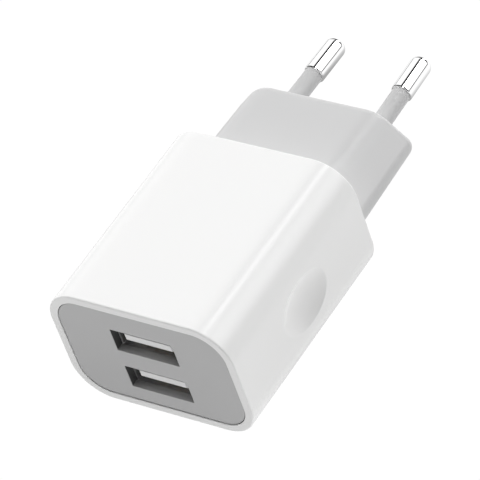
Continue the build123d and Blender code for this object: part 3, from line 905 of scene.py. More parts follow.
    def build(self) -> bpy.types.Object:
        """Build the sleeve as one closed skin.

        Returns:
            The sleeve.
        """
        mesh = bmesh.new()
        outer = self.outline(self.width, self.height, self.corner)
        rebate = self.outline(self.width - 2 * self.rim, self.height - 2 * self.rim, self.rebate_corner)
        cavity = self.outline(
            self.width - 2 * self.side_wall, self.height - 2 * self.flat_wall, self.cavity_corner
        )
        front, back = self.low.y, self.high.y
        patch_start = front + self.dimple_from_front - self.patch_half
        patch_end = front + self.dimple_from_front + self.patch_half
        first_y, last_y, plain = front + self.edge, back - self.edge, self.plain_steps
        stations = [first_y + (patch_start - first_y) * step / plain for step in range(plain)]
        first_patch = len(stations)
        stations += [
            patch_start + 2 * self.patch_half * step / self.patch_steps for step in range(self.patch_steps)
        ]
        last_patch = len(stations)
        stations += [patch_end + (last_y - patch_end) * step / plain for step in range(plain + 1)]
        rows = [add_loop(mesh, outer.points(), y) for y in stations]
        walls = {Side.RIGHT: outer.side_start(0), Side.LEFT: outer.side_start(2)}
        for row in range(len(rows) - 1):
            gap = first_patch <= row < last_patch

            def in_gap(index: int, gap: bool = gap) -> bool:
                """Tell whether a quad lies in the gap left for a dimple."""
                return gap and any(start <= index < start + self.wall_steps for start in walls.values())

            bridge(mesh, rows[row], rows[row + 1], in_gap)
        for side, start in walls.items():
            end = start + self.wall_steps
            border = [rows[first_patch][index] for index in range(start, end)]
            border += [rows[row][end] for row in range(first_patch, last_patch)]
            border += [rows[last_patch][index] for index in range(end, start, -1)]
            border += [rows[row][start] for row in range(last_patch, first_patch, -1)]
            self.dimple(mesh, border, side)
        rings: list[Loop] = [rows[-1]]
        for sine, rise in quarter(self.edge_steps)[1:]:
            rings.append(add_loop(mesh, outer.points(-self.edge * rise), back - self.edge * (1 - sine)))
        for sine, rise in quarter(self.lip_steps):
            lip = rebate.points(self.inner_edge * (1 - sine))
            rings.append(add_loop(mesh, lip, back - self.inner_edge * rise))
        rings.append(add_loop(mesh, rebate.points(), back - self.rear_rebate))
        rings.append(add_loop(mesh, cavity.points(), back - self.rear_rebate))
        rings.append(add_loop(mesh, cavity.points(), front + self.front_rebate))
        rings.append(add_loop(mesh, rebate.points(), front + self.front_rebate))
        for sine, rise in reversed(quarter(self.lip_steps)):
            lip = rebate.points(self.inner_edge * (1 - sine))
            rings.append(add_loop(mesh, lip, front + self.inner_edge * rise))
        for sine, rise in reversed(quarter(self.edge_steps)[1:]):
            rings.append(add_loop(mesh, outer.points(-self.edge * rise), front + self.edge * (1 - sine)))
        rings.append(rows[0])
        for first, second in zip(rings, rings[1:]):
            bridge(mesh, first, second)
        piece = finish_mesh(mesh, "white_sleeve")
        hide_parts("outer_sleeve")
        return piece

    def dress(self) -> None:
        """Build and dress the sleeve."""
        dress(self.build(), WHITE_SHELL)


@dataclass
class EndPieces:
    """Grey front plate with the socket openings, and the grey cap with its plug block.

    Attributes:
        corner, edge: corner radius of plate and cap, and the rounding of their seen edge.
        plate_thickness, cap_thickness: how thick they are.
        opening, opening_corner, opening_edge: an opening's width and height, corner radius and rounding.
        opening_steps: segments of each side and corner of an opening.
        port_heights: the heights of the openings' middles.
        plug_top_half, plug_half_height, plug_side_half: the hexagon's half sizes at the far face.
        plug_top_radius, plug_side_radius: the rounding of its corners.
        plug_sides, plug_arc: segments of its sides and of each corner.
        plug_draft, draft_steps: how far each side flares towards the block's foot, and in how many rows.
        plug_edge, plug_edge_steps: rounding of the far face's edge.
        skirt_gap, skirt_wall, skirt_length: the frame that slides into the sleeve.
        cavity: the sleeve's inner width, height and corner radius.
        edge_steps: segments of the other rounded edges.
    """

    corner: float = 5.4 * MM
    edge: float = 0.13 * MM
    plate_thickness: float = 1.6 * MM
    cap_thickness: float = 2.0 * MM
    opening: tuple[float, float] = (12.8 * MM, 5.05 * MM)
    opening_corner: float = 0.18 * MM
    opening_edge: float = 0.06 * MM
    opening_steps: int = 4
    port_heights: tuple[float, float] = (16.4 * MM, 7.43 * MM)
    plug_top_half: float = 12.3 * MM
    plug_half_height: float = 6.65 * MM
    plug_side_half: float = 18.5 * MM
    plug_top_radius: float = 6.0 * MM
    plug_side_radius: float = 2.0 * MM
    plug_sides: tuple[int, ...] = (6, 12, 6, 6, 12, 6)
    plug_arc: int = 12
    plug_draft: float = 0.45 * MM
    draft_steps: int = 10
    plug_edge: float = 1.5 * MM
    plug_edge_steps: int = 8
    skirt_gap: float = 0.1 * MM
    skirt_wall: float = 1.0 * MM
    skirt_length: float = 2.5 * MM
    cavity: tuple[float, float, float] = (32.3 * MM, 21.0 * MM, 5.0 * MM)
    edge_steps: int = 3

    def __post_init__(self) -> None:
        """Take the end pieces' places from the frame."""
        self.plate_low, self.plate_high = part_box("front_plate")
        self.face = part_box("plug_base")[1].y
        self.middle = (self.plate_low.z + self.plate_high.z) / 2
        self.width = self.plate_high.x - self.plate_low.x
        self.height = self.plate_high.z - self.plate_low.z
        self.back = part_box("outer_sleeve")[1].y

    def skirt(self, mesh: bmesh.types.BMesh, start: float, end: float) -> None:
        """Add the thin frame that slides into the sleeve.

        Args:
            mesh: the mesh to add to.
            start: Y where it starts.
            end: Y where it ends.
        """
        width, height, corner = self.cavity
        outer = rectangle(
            width - 2 * self.skirt_gap, height - 2 * self.skirt_gap, corner - self.skirt_gap, self.middle
        )
        loops = [
            add_loop(mesh, outer.points(), start),
            add_loop(mesh, outer.points(), end),
            add_loop(mesh, outer.points(-self.skirt_wall), end),
            add_loop(mesh, outer.points(-self.skirt_wall), start),
        ]
        for index, loop in enumerate(loops):
            bridge(mesh, loop, loops[(index + 1) % len(loops)])

    def slab(
        self, mesh: bmesh.types.BMesh, outline: Outline, holes: Sequence[Outline], seen: float, hidden: float
    ) -> None:
        """Add a flat plate with rounded edges on its seen face.

        Args:
            mesh: the mesh to add to.
            outline: the plate's outline.
            holes: the holes through it.
            seen: Y of the face that shows.
            hidden: Y of the other face.
        """
        inward = 1.0 if hidden > seen else -1.0
        fronts, backs = [], []
        for number, shape in enumerate([outline, *holes]):
            edge, sign = (self.edge, -1.0) if number == 0 else (self.opening_edge, 1.0)
            rings = [
                add_loop(mesh, shape.points(sign * edge * rise), seen + inward * edge * (1 - sine))
                for sine, rise in reversed(quarter(self.edge_steps))
            ]
            rings.append(add_loop(mesh, shape.points(), hidden))
            for first, second in zip(rings, rings[1:]):
                bridge(mesh, first, second)
            fronts.append(rings[0])
            backs.append(rings[-1])
        fill(mesh, fronts, Vector((0.0, -inward, 0.0)))
        fill(mesh, backs, Vector((0.0, inward, 0.0)))

    def front_plate(self) -> bpy.types.Object:
        """Build the front plate.

        Returns:
            The plate, which stands for its CAD node.
        """
        mesh = bmesh.new()
        steps = self.opening_steps
        holes = [
            rectangle(*self.opening, self.opening_corner, height, (steps,) * 4, steps)
            for height in self.port_heights
        ]
        outline = rectangle(self.width, self.height, self.corner, self.middle)
        plate_back = self.plate_low.y + self.plate_thickness
        self.slab(mesh, outline, holes, self.plate_low.y, plate_back)
        self.skirt(mesh, plate_back, plate_back + self.skirt_length)
        piece = finish_mesh(mesh, "socket_plate")
        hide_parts("front_plate")
        return piece

    def plug_outline(self) -> Outline:
        """Give the plug block's flattened hexagon at its far face, before the edge is rounded.

        Returns:
            The hexagon's outline.
        """
        top, half, side, mid = self.plug_top_half, self.plug_half_height, self.plug_side_half, self.middle
        corners = (
            (side, mid),
            (top, mid + half),
            (-top, mid + half),
            (-side, mid),
            (-top, mid - half),
            (top, mid - half),
        )
        blunt, sharp = self.plug_top_radius, self.plug_side_radius
        radii = (sharp, blunt, blunt, sharp, blunt, blunt)
        return Outline(corners, radii, self.plug_sides, self.plug_arc)

    def plug_base(self) -> bpy.types.Object:
        """Build the rear cap with the plug block on it.

        Returns:
            The cap and block, which stand for their CAD node.
        """
        mesh = bmesh.new()
        cap = rectangle(self.width, self.height, self.corner, self.middle)
        self.slab(mesh, cap, [], self.back, self.back - self.cap_thickness)
        self.skirt(mesh, self.back - self.cap_thickness - self.skirt_length, self.back - self.cap_thickness)
        outline = self.plug_outline()
        face = self.face
        shoulder = face - self.plug_edge
        rings = []
        for step in range(self.draft_steps + 1):
            y = self.back + (shoulder - self.back) * step / self.draft_steps
            draft = self.plug_draft * (face - y) / (face - self.back)
            rings.append(add_loop(mesh, outline.points(draft), y))
        for sine, rise in quarter(self.plug_edge_steps)[1:]:
            inset = outline.points(-self.plug_edge * rise)
            rings.append(add_loop(mesh, inset, shoulder + self.plug_edge * sine))
        for first, second in zip(rings, rings[1:]):
            bridge(mesh, first, second)
        fill(mesh, [rings[0]], Vector((0.0, -1.0, 0.0)))
        fill(mesh, [rings[-1]], Vector((0.0, 1.0, 0.0)))
        piece = finish_mesh(mesh, "plug_block")
        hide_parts("plug_base")
        return piece

    def dress(self) -> None:
        """Build and dress both end pieces."""
        dress(self.front_plate(), PLATE_GREY)
        dress(self.plug_base(), PLUG_GREY)


@dataclass
class Pin:
    """One round mains pin with its insulating collar; places along it are from the plug block's face.

    Attributes:
        side: which pin it is.
        radius, length, shoulder: the bare end's radius, how far it stands out, and its rounded root.
        tip_radius: rounding of the tip.
        collar_length, collar_radius, collar_root_radius: the collar's length and radii.
        collar_edge, collar_embed, collar_flare: its rounded end, the part in the block, the wider root.
        collar_ring: where the straight part has a ring of points, as a part of its length.
        core_radius, tail_radius, flange_radius, flange: the pin inside the collar and inside the block.
        fit_gap: the gap between pin and collar.
        mount_from_face: how far from the face the record's mount lies.
        shoulder_steps, tip_steps, collar_steps: segments of the rounded parts.
        smooth_below: edges that turn less than this many degrees are shaded smooth.
    """

    side: Side
    radius: float = 2.0 * MM
    length: float = 18.5 * MM
    shoulder: float = 0.3 * MM
    tip_radius: float = 1.4 * MM
    collar_length: float = 10.0 * MM
    collar_radius: float = 1.72 * MM
    collar_root_radius: float = 1.8 * MM
    collar_edge: float = 0.12 * MM
    collar_embed: float = 2.0 * MM
    core_radius: float = 1.2 * MM
    tail_radius: float = 0.8 * MM
    flange_radius: float = 2.3 * MM
    flange: tuple[float, float] = (-4.4 * MM, -3.7 * MM)
    fit_gap: float = 0.06 * MM
    collar_flare: float = 0.9 * MM
    collar_ring: float = 0.6
    mount_from_face: float = 13.7 * MM
    shoulder_steps: int = 5
    tip_steps: int = 16
    collar_steps: int = 4
    smooth_below: float = 40.0

    def __post_init__(self) -> None:
        """Take the pin's axis from the record's mount."""
        name = f"pin_{self.side.word}"
        mount = next(entry for entry in frame["record"]["mounts"] if entry["name"] == name)
        axis = Vector(mount["axis"]).normalized()
        foot = Vector(mount["pos_m"]) - axis * self.mount_from_face
        self.base = Matrix.Translation(foot) @ axis.to_track_quat("Z", "Y").to_matrix().to_4x4()
        self.inner_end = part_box("plug_base")[1].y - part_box(name)[0].y

    def metal(self) -> bpy.types.Object:
        """Build the turned metal pin.

        Returns:
            The pin, which stands for its CAD node.
        """
        tip = self.length - self.tip_radius
        flat = self.radius - self.tip_radius
        profile = [(0.0, -self.inner_end), (self.tail_radius, -self.inner_end)]
        inner, outer = self.flange
        profile += [(self.tail_radius, inner), (self.flange_radius, inner), (self.flange_radius, outer)]
        profile += [(self.core_radius, outer), (self.core_radius, self.collar_length)]
        for sine, rise in quarter(self.shoulder_steps):
            along = self.collar_length + self.shoulder * rise
            profile.append((self.radius - self.shoulder * (1 - sine), along))
        profile.append((self.radius, self.shoulder + (tip + self.collar_length) / 2))
        for sine, rise in quarter(self.tip_steps):
            profile.append((flat + self.tip_radius * (1 - rise), tip + self.tip_radius * sine))
        profile.append((0.0, self.length))
        mesh = bmesh.new()
        lathe(mesh, profile, self.base)
        piece = finish_mesh(mesh, f"pin_metal_{self.side.word}", self.smooth_below)
        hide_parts(f"pin_{self.side.word}")
        return piece

    def collar(self) -> bpy.types.Object:
        """Build the moulded collar, a little thicker at its root.

        Returns:
            The collar, which stands for its CAD node.
        """
        inner = self.core_radius + self.fit_gap
        profile = [(inner, -self.collar_embed), (self.collar_radius, -self.collar_embed)]
        profile += [(self.collar_root_radius, 0.0), (self.collar_radius, self.collar_flare)]
        profile.append((self.collar_radius, self.collar_length * self.collar_ring))
        for sine, rise in quarter(self.collar_steps):
            along = self.collar_length - self.collar_edge * (1 - sine)
            profile.append((self.collar_radius - self.collar_edge * rise, along))
        profile += [(inner, self.collar_length), (inner, -self.collar_embed)]
        mesh = bmesh.new()
        lathe(mesh, profile, self.base)
        bmesh.ops.remove_doubles(mesh, verts=mesh.verts, dist=MERGE)
        piece = finish_mesh(mesh, f"collar_{self.side.word}")
        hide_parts(f"pin_collar_{self.side.word}")
        return piece

    def dress(self) -> None:
        """Build and dress the pin and its collar."""
        dress(self.metal(), PIN_PLATING)
        dress(self.collar(), COLLAR_GREY)


@dataclass
class Socket:
    """One socket: steel shell with holding springs, pale tongue and bowed contact blades.

    Attributes:
        port: which socket it is.
        sheet, shell_edge: the shell's sheet and the rounding of its edges.
        spring_width, spring_length, spring_sheet: sizes of a holding spring.
        spring_rise, spring_sink, spring_lean: how far it bows in, starts in the wall, and leans back.
        spring_x, spring_from_mouth, spring_steps: its place and segments.
        tongue_edge, tongue_drop: rounding of the tongue's edges, and its lower face below the middle.
        lead_in_reach, lip_radius, lip_steps: the rounded lower front edge.
        level, least_turn, square_end: which edges belong to it: their height's tolerance, their least
            angle, and the end that stays square.
        blade_sheet, blade_width, blade_clear, blade_xs: a blade's sheet, width, gap and places.
        blade_root, blade_bend, blade_curl, blade_steps: its straight root, and the shape of its bow.
    """

    port: Port
    sheet: float = 0.3 * MM
    shell_edge: float = 0.04 * MM
    spring_width: float = 1.6 * MM
    spring_length: float = 4.0 * MM
    spring_sheet: float = 0.22 * MM
    spring_rise: float = 0.38 * MM
    spring_x: float = 3.6 * MM
    spring_from_mouth: float = 1.2 * MM
    spring_sink: float = 0.05 * MM
    spring_lean: float = 1.5
    spring_steps: int = 12
    tongue_edge: float = 0.07 * MM
    tongue_drop: float = 0.4 * MM
    lead_in_reach: float = 1.5 * MM
    lip_radius: float = 0.7 * MM
    lip_steps: int = 6
    level: float = 0.01 * MM
    least_turn: float = 0.1
    square_end: float = 0.9
    blade_sheet: float = 0.2 * MM
    blade_clear: float = 0.03 * MM
    blade_root: float = 0.18
    blade_bend: float = 1.15
    blade_curl: float = 0.85
    blade_steps: int = 28
    blade_width: float = 1.0 * MM
    blade_xs: tuple[float, ...] = (-3.5 * MM, -1.0 * MM, 1.0 * MM, 3.5 * MM)

    def __post_init__(self) -> None:
        """Take the socket's place from the frame."""
        self.low, self.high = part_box(f"{self.port.value}_usb_shell")
        self.blade_low, self.blade_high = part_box(f"{self.port.value}_contact_blades")
        self.tongue_bottom = (self.low.z + self.high.z) / 2 - self.tongue_drop

    def strip(
        self, mesh: bmesh.types.BMesh, path: Sequence[Vector], across: Vector, thick: Vector, width: float
    ) -> None:
        """Add a bent strip of sheet metal.

        Args:
            mesh: the mesh to add to.
            path: points along the middle of its lower face.
            across: unit vector across the strip.
            thick: vector through its thickness.
            width: the strip's width.
        """
        rings = []
        for point in path:
            corners = (
                point - across * width / 2,
                point + across * width / 2,
                point + across * width / 2 + thick,
                point - across * width / 2 + thick,
            )
            rings.append([mesh.verts.new(corner) for corner in corners])
        for first, second in zip(rings, rings[1:]):
            bridge(mesh, first, second)
        mesh.faces.new(rings[0])
        mesh.faces.new(rings[-1])

    def springs(self) -> bpy.types.Object:
        """Build the holding springs that bow in from the shell's walls.

        Returns:
            The six springs as one piece.
        """
        mesh = bmesh.new()
        mouth = self.low.y + self.spring_from_mouth
        middle = (self.low.z + self.high.z) / 2
        places = []
        for x in (-self.spring_x, self.spring_x):
            places.append((Vector((x, 0, self.high.z - self.sheet)), Vector((1, 0, 0)), Vector((0, 0, -1))))
            places.append((Vector((x, 0, self.low.z + self.sheet)), Vector((1, 0, 0)), Vector((0, 0, 1))))
        for x, inward in ((self.low.x + self.sheet, 1), (self.high.x - self.sheet, -1)):
            places.append((Vector((x, 0, middle)), Vector((0, 0, 1)), Vector((inward, 0, 0))))
        for foot, across, inward in places:
            path = []
            for step in range(self.spring_steps + 1):
                part = step / self.spring_steps
                bow = self.spring_rise * math.sin(math.pi * part**self.spring_lean) - self.spring_sink
                path.append(foot + Vector((0, mouth + self.spring_length * part, 0)) + inward * bow)
            self.strip(mesh, path, across, inward * self.spring_sheet, self.spring_width)
        return finish_mesh(mesh, f"{self.port.value}_holding_springs")

    def tongue(self) -> bpy.types.Object:
        """Round the tongue's lower front edge, which leads a plug's contacts onto it.

        Returns:
            The tongue, which stands for its CAD node.
        """
        name = self.port.value
        mesh = clean_copy(f"{name}_usb_tongue")
        low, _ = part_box(f"{name}_usb_tongue")
        lip = [
            edge
            for edge in mesh.edges
            if all(vertex.co.y < low.y + self.lead_in_reach for vertex in edge.verts)
            and all(abs(vertex.co.z - self.tongue_bottom) < self.level for vertex in edge.verts)
            and edge.calc_face_angle(0.0) > self.least_turn
            and not any(face.normal.x > self.square_end for face in edge.link_faces)
        ]
        bmesh.ops.bevel(
            mesh,
            geom=lip,
            offset=self.lip_radius,
            segments=self.lip_steps,
            profile=0.5,
            affect="EDGES",
            clamp_overlap=True,
        )
        piece = finish_mesh(mesh, f"{name}_tongue")
        round_edges(piece, self.tongue_edge, 3)
        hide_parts(f"{name}_usb_tongue")
        return piece

    def blades(self) -> bpy.types.Object:
        """Build the four contact blades as smoothly bowed strips.

        Returns:
            The blades, which stand for their CAD node.
        """
        mesh = bmesh.new()
        root, tip = self.blade_high.y, self.blade_low.y
        top = self.blade_high.z - self.blade_sheet - self.blade_clear
        drop = top - self.blade_low.z
        for x in self.blade_xs:
            path = []
            for step in range(self.blade_steps + 1):
                part = step / self.blade_steps
                free = max(0.0, (part - self.blade_root) / (1.0 - self.blade_root))
                bow = math.sin(math.pi * (self.blade_curl * free) ** self.blade_bend) ** 2
                path.append(Vector((x, root + (tip - root) * part, top - drop * bow)))
            self.strip(mesh, path, Vector((1, 0, 0)), Vector((0, 0, self.blade_sheet)), self.blade_width)
        piece = finish_mesh(mesh, f"{self.port.value}_blades")
        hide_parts(f"{self.port.value}_contact_blades")
        return piece

    def dress(self) -> None:
        """Build and dress the socket."""
        name = self.port.value
        shell = soften(f"{name}_usb_shell", f"{name}_shell", self.shell_edge)
        dress(shell, STEEL_PAINTED_DARK)
        dress(self.tongue(), TONGUE_PALE)
        dress(self.springs(), STEEL_PAINTED_DARK)
        dress(self.blades(), CONTACT_GOLD, f"{name}_contacts")
        dress_node(f"{name}_contact_tails", CONTACT_GOLD)


@dataclass
class Innards:
    """What the closed body holds: boards, transformer and the smaller parts.

    Attributes:
        finishes: the finish of each CAD node inside.
    """

    finishes: dict[str, Finish] = field(
        default_factory=lambda: {
            "main_board": BOARD,
            "output_board": BOARD,
            "transformer_core": FERRITE,
            "choke_core": FERRITE,
            "transformer_bobbin": BLACK_MOULD,
            "transformer_winding": COPPER,
            "choke_winding": COPPER,
            "transformer_tape": TAPE_YELLOW,
            "transformer_pins": TINNED,
            "capacitor_leads": TINNED,
            "board_link_pins": TINNED,
            "resistor_leads": TINNED,
            "input_capacitor_front": CAN_SLEEVE,
            "input_capacitor_rear": CAN_SLEEVE,
            "output_capacitor_left": CAN_ALUMINIUM,
            "output_capacitor_right": CAN_ALUMINIUM,
            "disc_capacitor": BLUE_DIP,
            "fusible_resistor": RESISTOR_COAT,
            "bridge_rectifier": BLACK_MOULD,
            "controller_chip": BLACK_MOULD,
            "output_diode": BLACK_MOULD,
            "mains_wire_left": WIRE_BROWN,
            "mains_wire_right": WIRE_BLUE,
        }
    )

    def dress(self) -> None:
        """Dress the pieces inside."""
        for node, finish in self.finishes.items():
            dress_node(node, finish)


# ------------------------------------------------------------------ studio


@dataclass
class Studio:
    """Pale floor, soft light and the camera.

    Attributes:
        azimuth, elevation, roll: the camera's angles in degrees.
        distance, lens, film, clip: how far the camera stands, its focal length and film in millimetres,
            and the nearest and farthest it sees.
        aim_offset: the point aimed at, from the middle of the sleeve.
        white: strength at which floor and room show to the camera.
        floor_size, floor_drop, floor_glow: side of the floor, its gap under the charger, and its light.
        shade_half, shade_middle: half sizes and middle of the shade that glossy surfaces see on the floor.
        shade_reach, shade_glow: where that shade fades out, and the floor's light inside and outside it.
        room_far, room_near, room_least: light of the room ahead of the viewer, behind, and at the least.
        near_edge, tilt: where the room turns dim, and the side it is brightest from.
        mirror_glow: light of the mirrored room between its seams and along them.
        horizon_half, seam_side, seam_half: width of the mirrored horizon, and the upright seam.
        far_wall_edge, far_wall_middle, far_wall_half, front_wall_edge: the dark ends of the mirrored room.
        strip_side, strip_half, strip_glow: the bright strip.
        panel_place, panel_edge, panel_glow: the bright panel.
        band_edge: how much of a band's half width is full.
        back_light, back_place, back_size: power, place and side of the soft light.
    """

    azimuth: float = 45.96
    elevation: float = 42.06
    roll: float = -20.66
    distance: float = 664.0 * MM
    aim_offset: tuple[float, float, float] = (4.25 * MM, 5.04 * MM, 5.85 * MM)
    lens: float = 295.9
    film: float = 36.0
    clip: tuple[float, float] = (0.01, 20.0)
    white: float = 1.02
    floor_size: float = 6.0
    floor_drop: float = 0.05 * MM
    floor_glow: float = 1.22
    shade_half: tuple[float, float] = (50.0 * MM, 60.0 * MM)
    shade_middle: float = -12.0 * MM
    shade_reach: tuple[float, float] = (0.7, 1.1)
    shade_glow: tuple[float, float] = (0.4, 1.04)
    room_far: float = 1.16
    room_near: float = 0.046
    room_least: float = 0.02
    near_edge: tuple[float, float] = (0.146, 0.347)
    tilt: tuple[float, float, float] = (0.72, 0.408, 0.18)
    mirror_glow: tuple[float, float] = (1.06, 0.03)
    horizon_half: float = 0.13
    seam_side: tuple[float, float, float] = (0.9954, 0.0, 0.0958)
    seam_half: float = 0.17
    far_wall_edge: tuple[float, float] = (0.62, 0.85)
    far_wall_middle: float = 0.05
    far_wall_half: float = 0.45
    front_wall_edge: tuple[float, float] = (0.0, 0.3)
    strip_side: tuple[float, float, float] = (0.9848, 0.0, -0.1736)
    strip_half: float = 0.06
    strip_glow: float = 6.5
    panel_place: tuple[float, float, float] = (0.66, 0.516, 0.546)
    panel_edge: tuple[float, float] = (0.93, 0.99)
    panel_glow: float = 2.2
    band_edge: float = 0.7
    back_light: float = 7.1
    back_place: tuple[float, float, float] = (-0.1, 0.1, 0.99)
    back_size: float = 0.7

    def __post_init__(self) -> None:
        """Aim at a point near the middle of the sleeve."""
        low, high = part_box("outer_sleeve")
        self.aim = (low + high) / 2 + Vector(self.aim_offset)
        turn, rise = math.radians(self.azimuth), math.radians(self.elevation)
        level = Vector((math.sin(turn), -math.cos(turn), 0.0))
        self.back = level * math.cos(rise) + Vector((0.0, 0.0, math.sin(rise)))

    def camera(self) -> None:
        """Place the camera."""
        turn, roll, back = math.radians(self.azimuth), math.radians(self.roll), self.back
        level = Vector((math.cos(turn), math.sin(turn), 0.0))
        upright = back.cross(level)
        right = level * math.cos(roll) + upright * math.sin(roll)
        up = back.cross(right)
        data = bpy.data.cameras.new("camera")
        data.lens = self.lens
        data.sensor_width = self.film
        data.clip_start, data.clip_end = self.clip
        camera = bpy.data.objects.new("camera", data)
        place = Matrix((right, up, back)).transposed().to_4x4()
        place.translation = self.aim + back * self.distance
        camera.matrix_world = place
        bpy.context.scene.collection.objects.link(camera)
        bpy.context.scene.camera = camera

    def floor(self) -> None:
        """Lay the white floor, with a painted shadow round the charger that only glossy rays see; it is left
        out when seen from below.
        """
        mesh = bmesh.new()
        half = self.floor_size / 2
        corners = ((-half, -half), (half, -half), (half, half), (-half, half))
        mesh.faces.new([mesh.verts.new((x, y, CAD_BOX[0].z - self.floor_drop)) for x, y in corners])
        data = bpy.data.meshes.new("floor")
        mesh.to_mesh(data)
        mesh.free()
        floor = bpy.data.objects.new("floor", data)
        bpy.context.scene.collection.objects.link(floor)
        material = bpy.data.materials.new("floor_paper")
        material.use_nodes = True
        tree = material.node_tree
        paper = tree.nodes["Principled BSDF"]
        paper.inputs["Roughness"].default_value = 0.9
        paper.inputs["Specular IOR Level"].default_value = 0.0
        paper.inputs["Base Color"].default_value = (0.0, 0.0, 0.0, 1.0)
        paper.inputs["Emission Color"].default_value = (1.0, 1.0, 1.0, 1.0)
        spot = tree.nodes.new("ShaderNodeNewGeometry")
        path = tree.nodes.new("ShaderNodeLightPath")
        # Painted shadow: glossy rays see the floor's glow dimmed in a patch round the charger.
        near = tree.nodes.new("ShaderNodeVectorMath")
        near.operation = "MULTIPLY_ADD"
        near.inputs[1].default_value = (1 / self.shade_half[0], 1 / self.shade_half[1], 0.0)
        near.inputs[2].default_value = (-self.shade_middle / self.shade_half[0], 0.0, 0.0)
        tree.links.new(spot.outputs["Position"], near.inputs[0])
        reach = tree.nodes.new("ShaderNodeVectorMath")
        reach.operation = "LENGTH"
        tree.links.new(near.outputs["Vector"], reach.inputs[0])
        mirrored = range_node(tree, reach.outputs["Value"], self.shade_reach, self.shade_glow)
        shown = tree.nodes.new("ShaderNodeMix")
        tree.links.new(path.outputs["Is Glossy Ray"], shown.inputs["Factor"])
        shown.inputs["A"].default_value = self.floor_glow
        tree.links.new(mirrored, shown.inputs["B"])
        tree.links.new(shown.outputs["Result"], paper.inputs["Emission Strength"])
        glow = tree.nodes.new("ShaderNodeEmission")
        glow.inputs["Strength"].default_value = self.white
        clear = tree.nodes.new("ShaderNodeBsdfTransparent")
        seen = tree.nodes.new("ShaderNodeMixShader")
        under = tree.nodes.new("ShaderNodeMixShader")
        tree.links.new(path.outputs["Is Camera Ray"], seen.inputs["Fac"])
        tree.links.new(paper.outputs["BSDF"], seen.inputs[1])
        tree.links.new(glow.outputs["Emission"], seen.inputs[2])
        tree.links.new(spot.outputs["Backfacing"], under.inputs["Fac"])
        tree.links.new(seen.outputs["Shader"], under.inputs[1])
        tree.links.new(clear.outputs["BSDF"], under.inputs[2])
        tree.links.new(under.outputs["Shader"], tree.nodes["Material Output"].inputs["Surface"])
        data.materials.append(material)

    def lean(
        self, tree: bpy.types.NodeTree, direction: bpy.types.NodeSocket, toward: tuple[float, float, float]
    ) -> bpy.types.NodeSocket:
        """Measure how far a direction leans towards a fixed one.

        Args:
            tree: the world's tree.
            direction: the direction looked in.
            toward: the fixed direction, of length one.

        Returns:
            The cosine between the two.
        """
        unit = tree.nodes.new("ShaderNodeVectorMath")
        unit.operation = "NORMALIZE"
        tree.links.new(direction, unit.inputs[0])
        dot = tree.nodes.new("ShaderNodeVectorMath")
        dot.operation = "DOT_PRODUCT"
        dot.inputs[1].default_value = toward
        tree.links.new(unit.outputs["Vector"], dot.inputs[0])
        return dot.outputs["Value"]

    def combine(
        self,
        tree: bpy.types.NodeTree,
        operation: str,
        first: bpy.types.NodeSocket,
        second: bpy.types.NodeSocket | float,
    ) -> bpy.types.NodeSocket:
        """Join two values by a math operation.

        Args:
            tree: the world's tree.
            operation: the name of the operation.
            first: the first value.
            second: the second value, linked or plain.

        Returns:
            The result.
        """
        node = tree.nodes.new("ShaderNodeMath")
        node.operation = operation
        tree.links.new(first, node.inputs[0])
        if isinstance(second, float):
            node.inputs[1].default_value = second
        else:
            tree.links.new(second, node.inputs[1])
        return node.outputs["Value"]

    def line(
        self, tree: bpy.types.NodeTree, lean: bpy.types.NodeSocket, middle: float, half: float
    ) -> bpy.types.NodeSocket:
        """Mask a band where a cosine is close to a middle value.

        Args:
            tree: the world's tree.
            lean: the cosine.
            middle: its value along the middle of the band.
            half: how far it may differ from that.

        Returns:
            One in the band and zero outside it.
        """
        away = self.combine(tree, "SUBTRACT", lean, middle)
        size = self.combine(tree, "ABSOLUTE", away, 0.0)
        return range_node(tree, size, (half * self.band_edge, half), (1.0, 0.0))

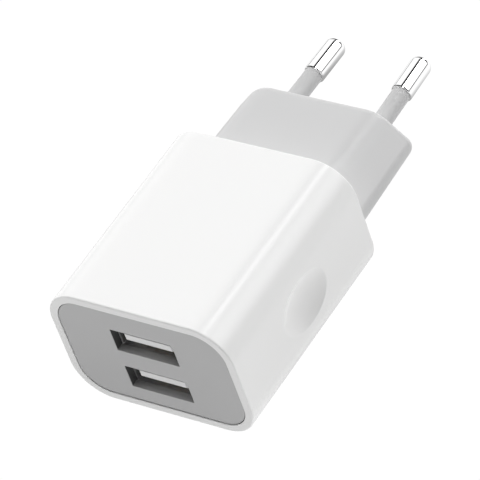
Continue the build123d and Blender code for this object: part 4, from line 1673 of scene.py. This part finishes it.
    def world(self) -> None:
        """Surround the charger with a white room, dim behind the viewer, with seams that metal mirrors."""
        world = bpy.data.worlds.new("room")
        world.use_nodes = True
        bpy.context.scene.world = world
        tree = world.node_tree
        background = tree.nodes["Background"]
        place = tree.nodes.new("ShaderNodeTexCoord").outputs["Generated"]
        near = range_node(
            tree, self.lean(tree, place, self.back), self.near_edge, (self.room_far, self.room_near)
        )
        slope = self.combine(tree, "ADD", self.lean(tree, place, self.tilt), 1.0)
        room = self.combine(tree, "MULTIPLY", near, self.combine(tree, "MAXIMUM", slope, self.room_least))
        height = self.lean(tree, place, (0.0, 0.0, 1.0))
        behind = self.lean(tree, place, (0.0, 1.0, 0.0))
        horizon = self.line(tree, height, 0.0, self.horizon_half)
        far_wall = range_node(tree, behind, self.far_wall_edge, (0.0, 1.0))
        far_band = self.line(tree, height, self.far_wall_middle, self.far_wall_half)
        far_wall = self.combine(tree, "MULTIPLY", far_wall, far_band)
        front_wall = range_node(tree, behind, self.front_wall_edge, (1.0, 0.0))
        seam = self.line(tree, self.lean(tree, place, self.seam_side), 0.0, self.seam_half)
        lines = self.combine(tree, "MAXIMUM", horizon, seam)
        lines = self.combine(tree, "MAXIMUM", lines, far_wall)
        lines = self.combine(tree, "MAXIMUM", lines, front_wall)
        mirrored = range_node(tree, lines, (0.0, 1.0), self.mirror_glow)
        strip = self.line(tree, self.lean(tree, place, self.strip_side), 0.0, self.strip_half)
        strip_light = range_node(tree, strip, (0.0, 1.0), (0.0, self.strip_glow))
        mirrored = self.combine(tree, "ADD", mirrored, strip_light)
        facing = self.lean(tree, place, self.panel_place)
        panel = range_node(tree, facing, self.panel_edge, (0.0, self.panel_glow))
        mirrored = self.combine(tree, "ADD", mirrored, panel)
        path = tree.nodes.new("ShaderNodeLightPath")
        glossy = tree.nodes.new("ShaderNodeMix")
        tree.links.new(path.outputs["Is Glossy Ray"], glossy.inputs["Factor"])
        tree.links.new(room, glossy.inputs["A"])
        tree.links.new(mirrored, glossy.inputs["B"])
        seen = tree.nodes.new("ShaderNodeMix")
        tree.links.new(path.outputs["Is Camera Ray"], seen.inputs["Factor"])
        tree.links.new(glossy.outputs["Result"], seen.inputs["A"])
        seen.inputs["B"].default_value = self.white
        tree.links.new(seen.outputs["Result"], background.inputs["Strength"])
        background.inputs["Color"].default_value = (1.0, 1.0, 1.0, 1.0)

    def light(self) -> None:
        """Hang one soft light behind the object, high up."""
        data = bpy.data.lights.new("back_light", "AREA")
        data.shape = "SQUARE"
        data.size = self.back_size
        data.energy = self.back_light
        lamp = bpy.data.objects.new("back_light", data)
        place = Vector(self.back_place)
        facing = place.to_track_quat("Z", "Y").to_matrix().to_4x4()
        lamp.matrix_world = Matrix.Translation(self.aim + place) @ facing
        lamp.visible_glossy = False
        bpy.context.scene.collection.objects.link(lamp)

    def build(self) -> None:
        """Build the studio."""
        self.camera()
        self.floor()
        self.world()
        self.light()
        view = bpy.context.scene.view_settings
        view.view_transform = "Standard"
        view.look = "None"


def main() -> None:
    """Build the charger, then the studio round it."""
    logging.basicConfig(level=logging.INFO, format="%(name)s: %(message)s")
    Studio().build()
    Sleeve().dress()
    EndPieces().dress()
    for side in Side:
        Pin(side).dress()
    for port in Port:
        Socket(port).dress()
    Innards().dress()


if __name__ == "__main__":
    main()
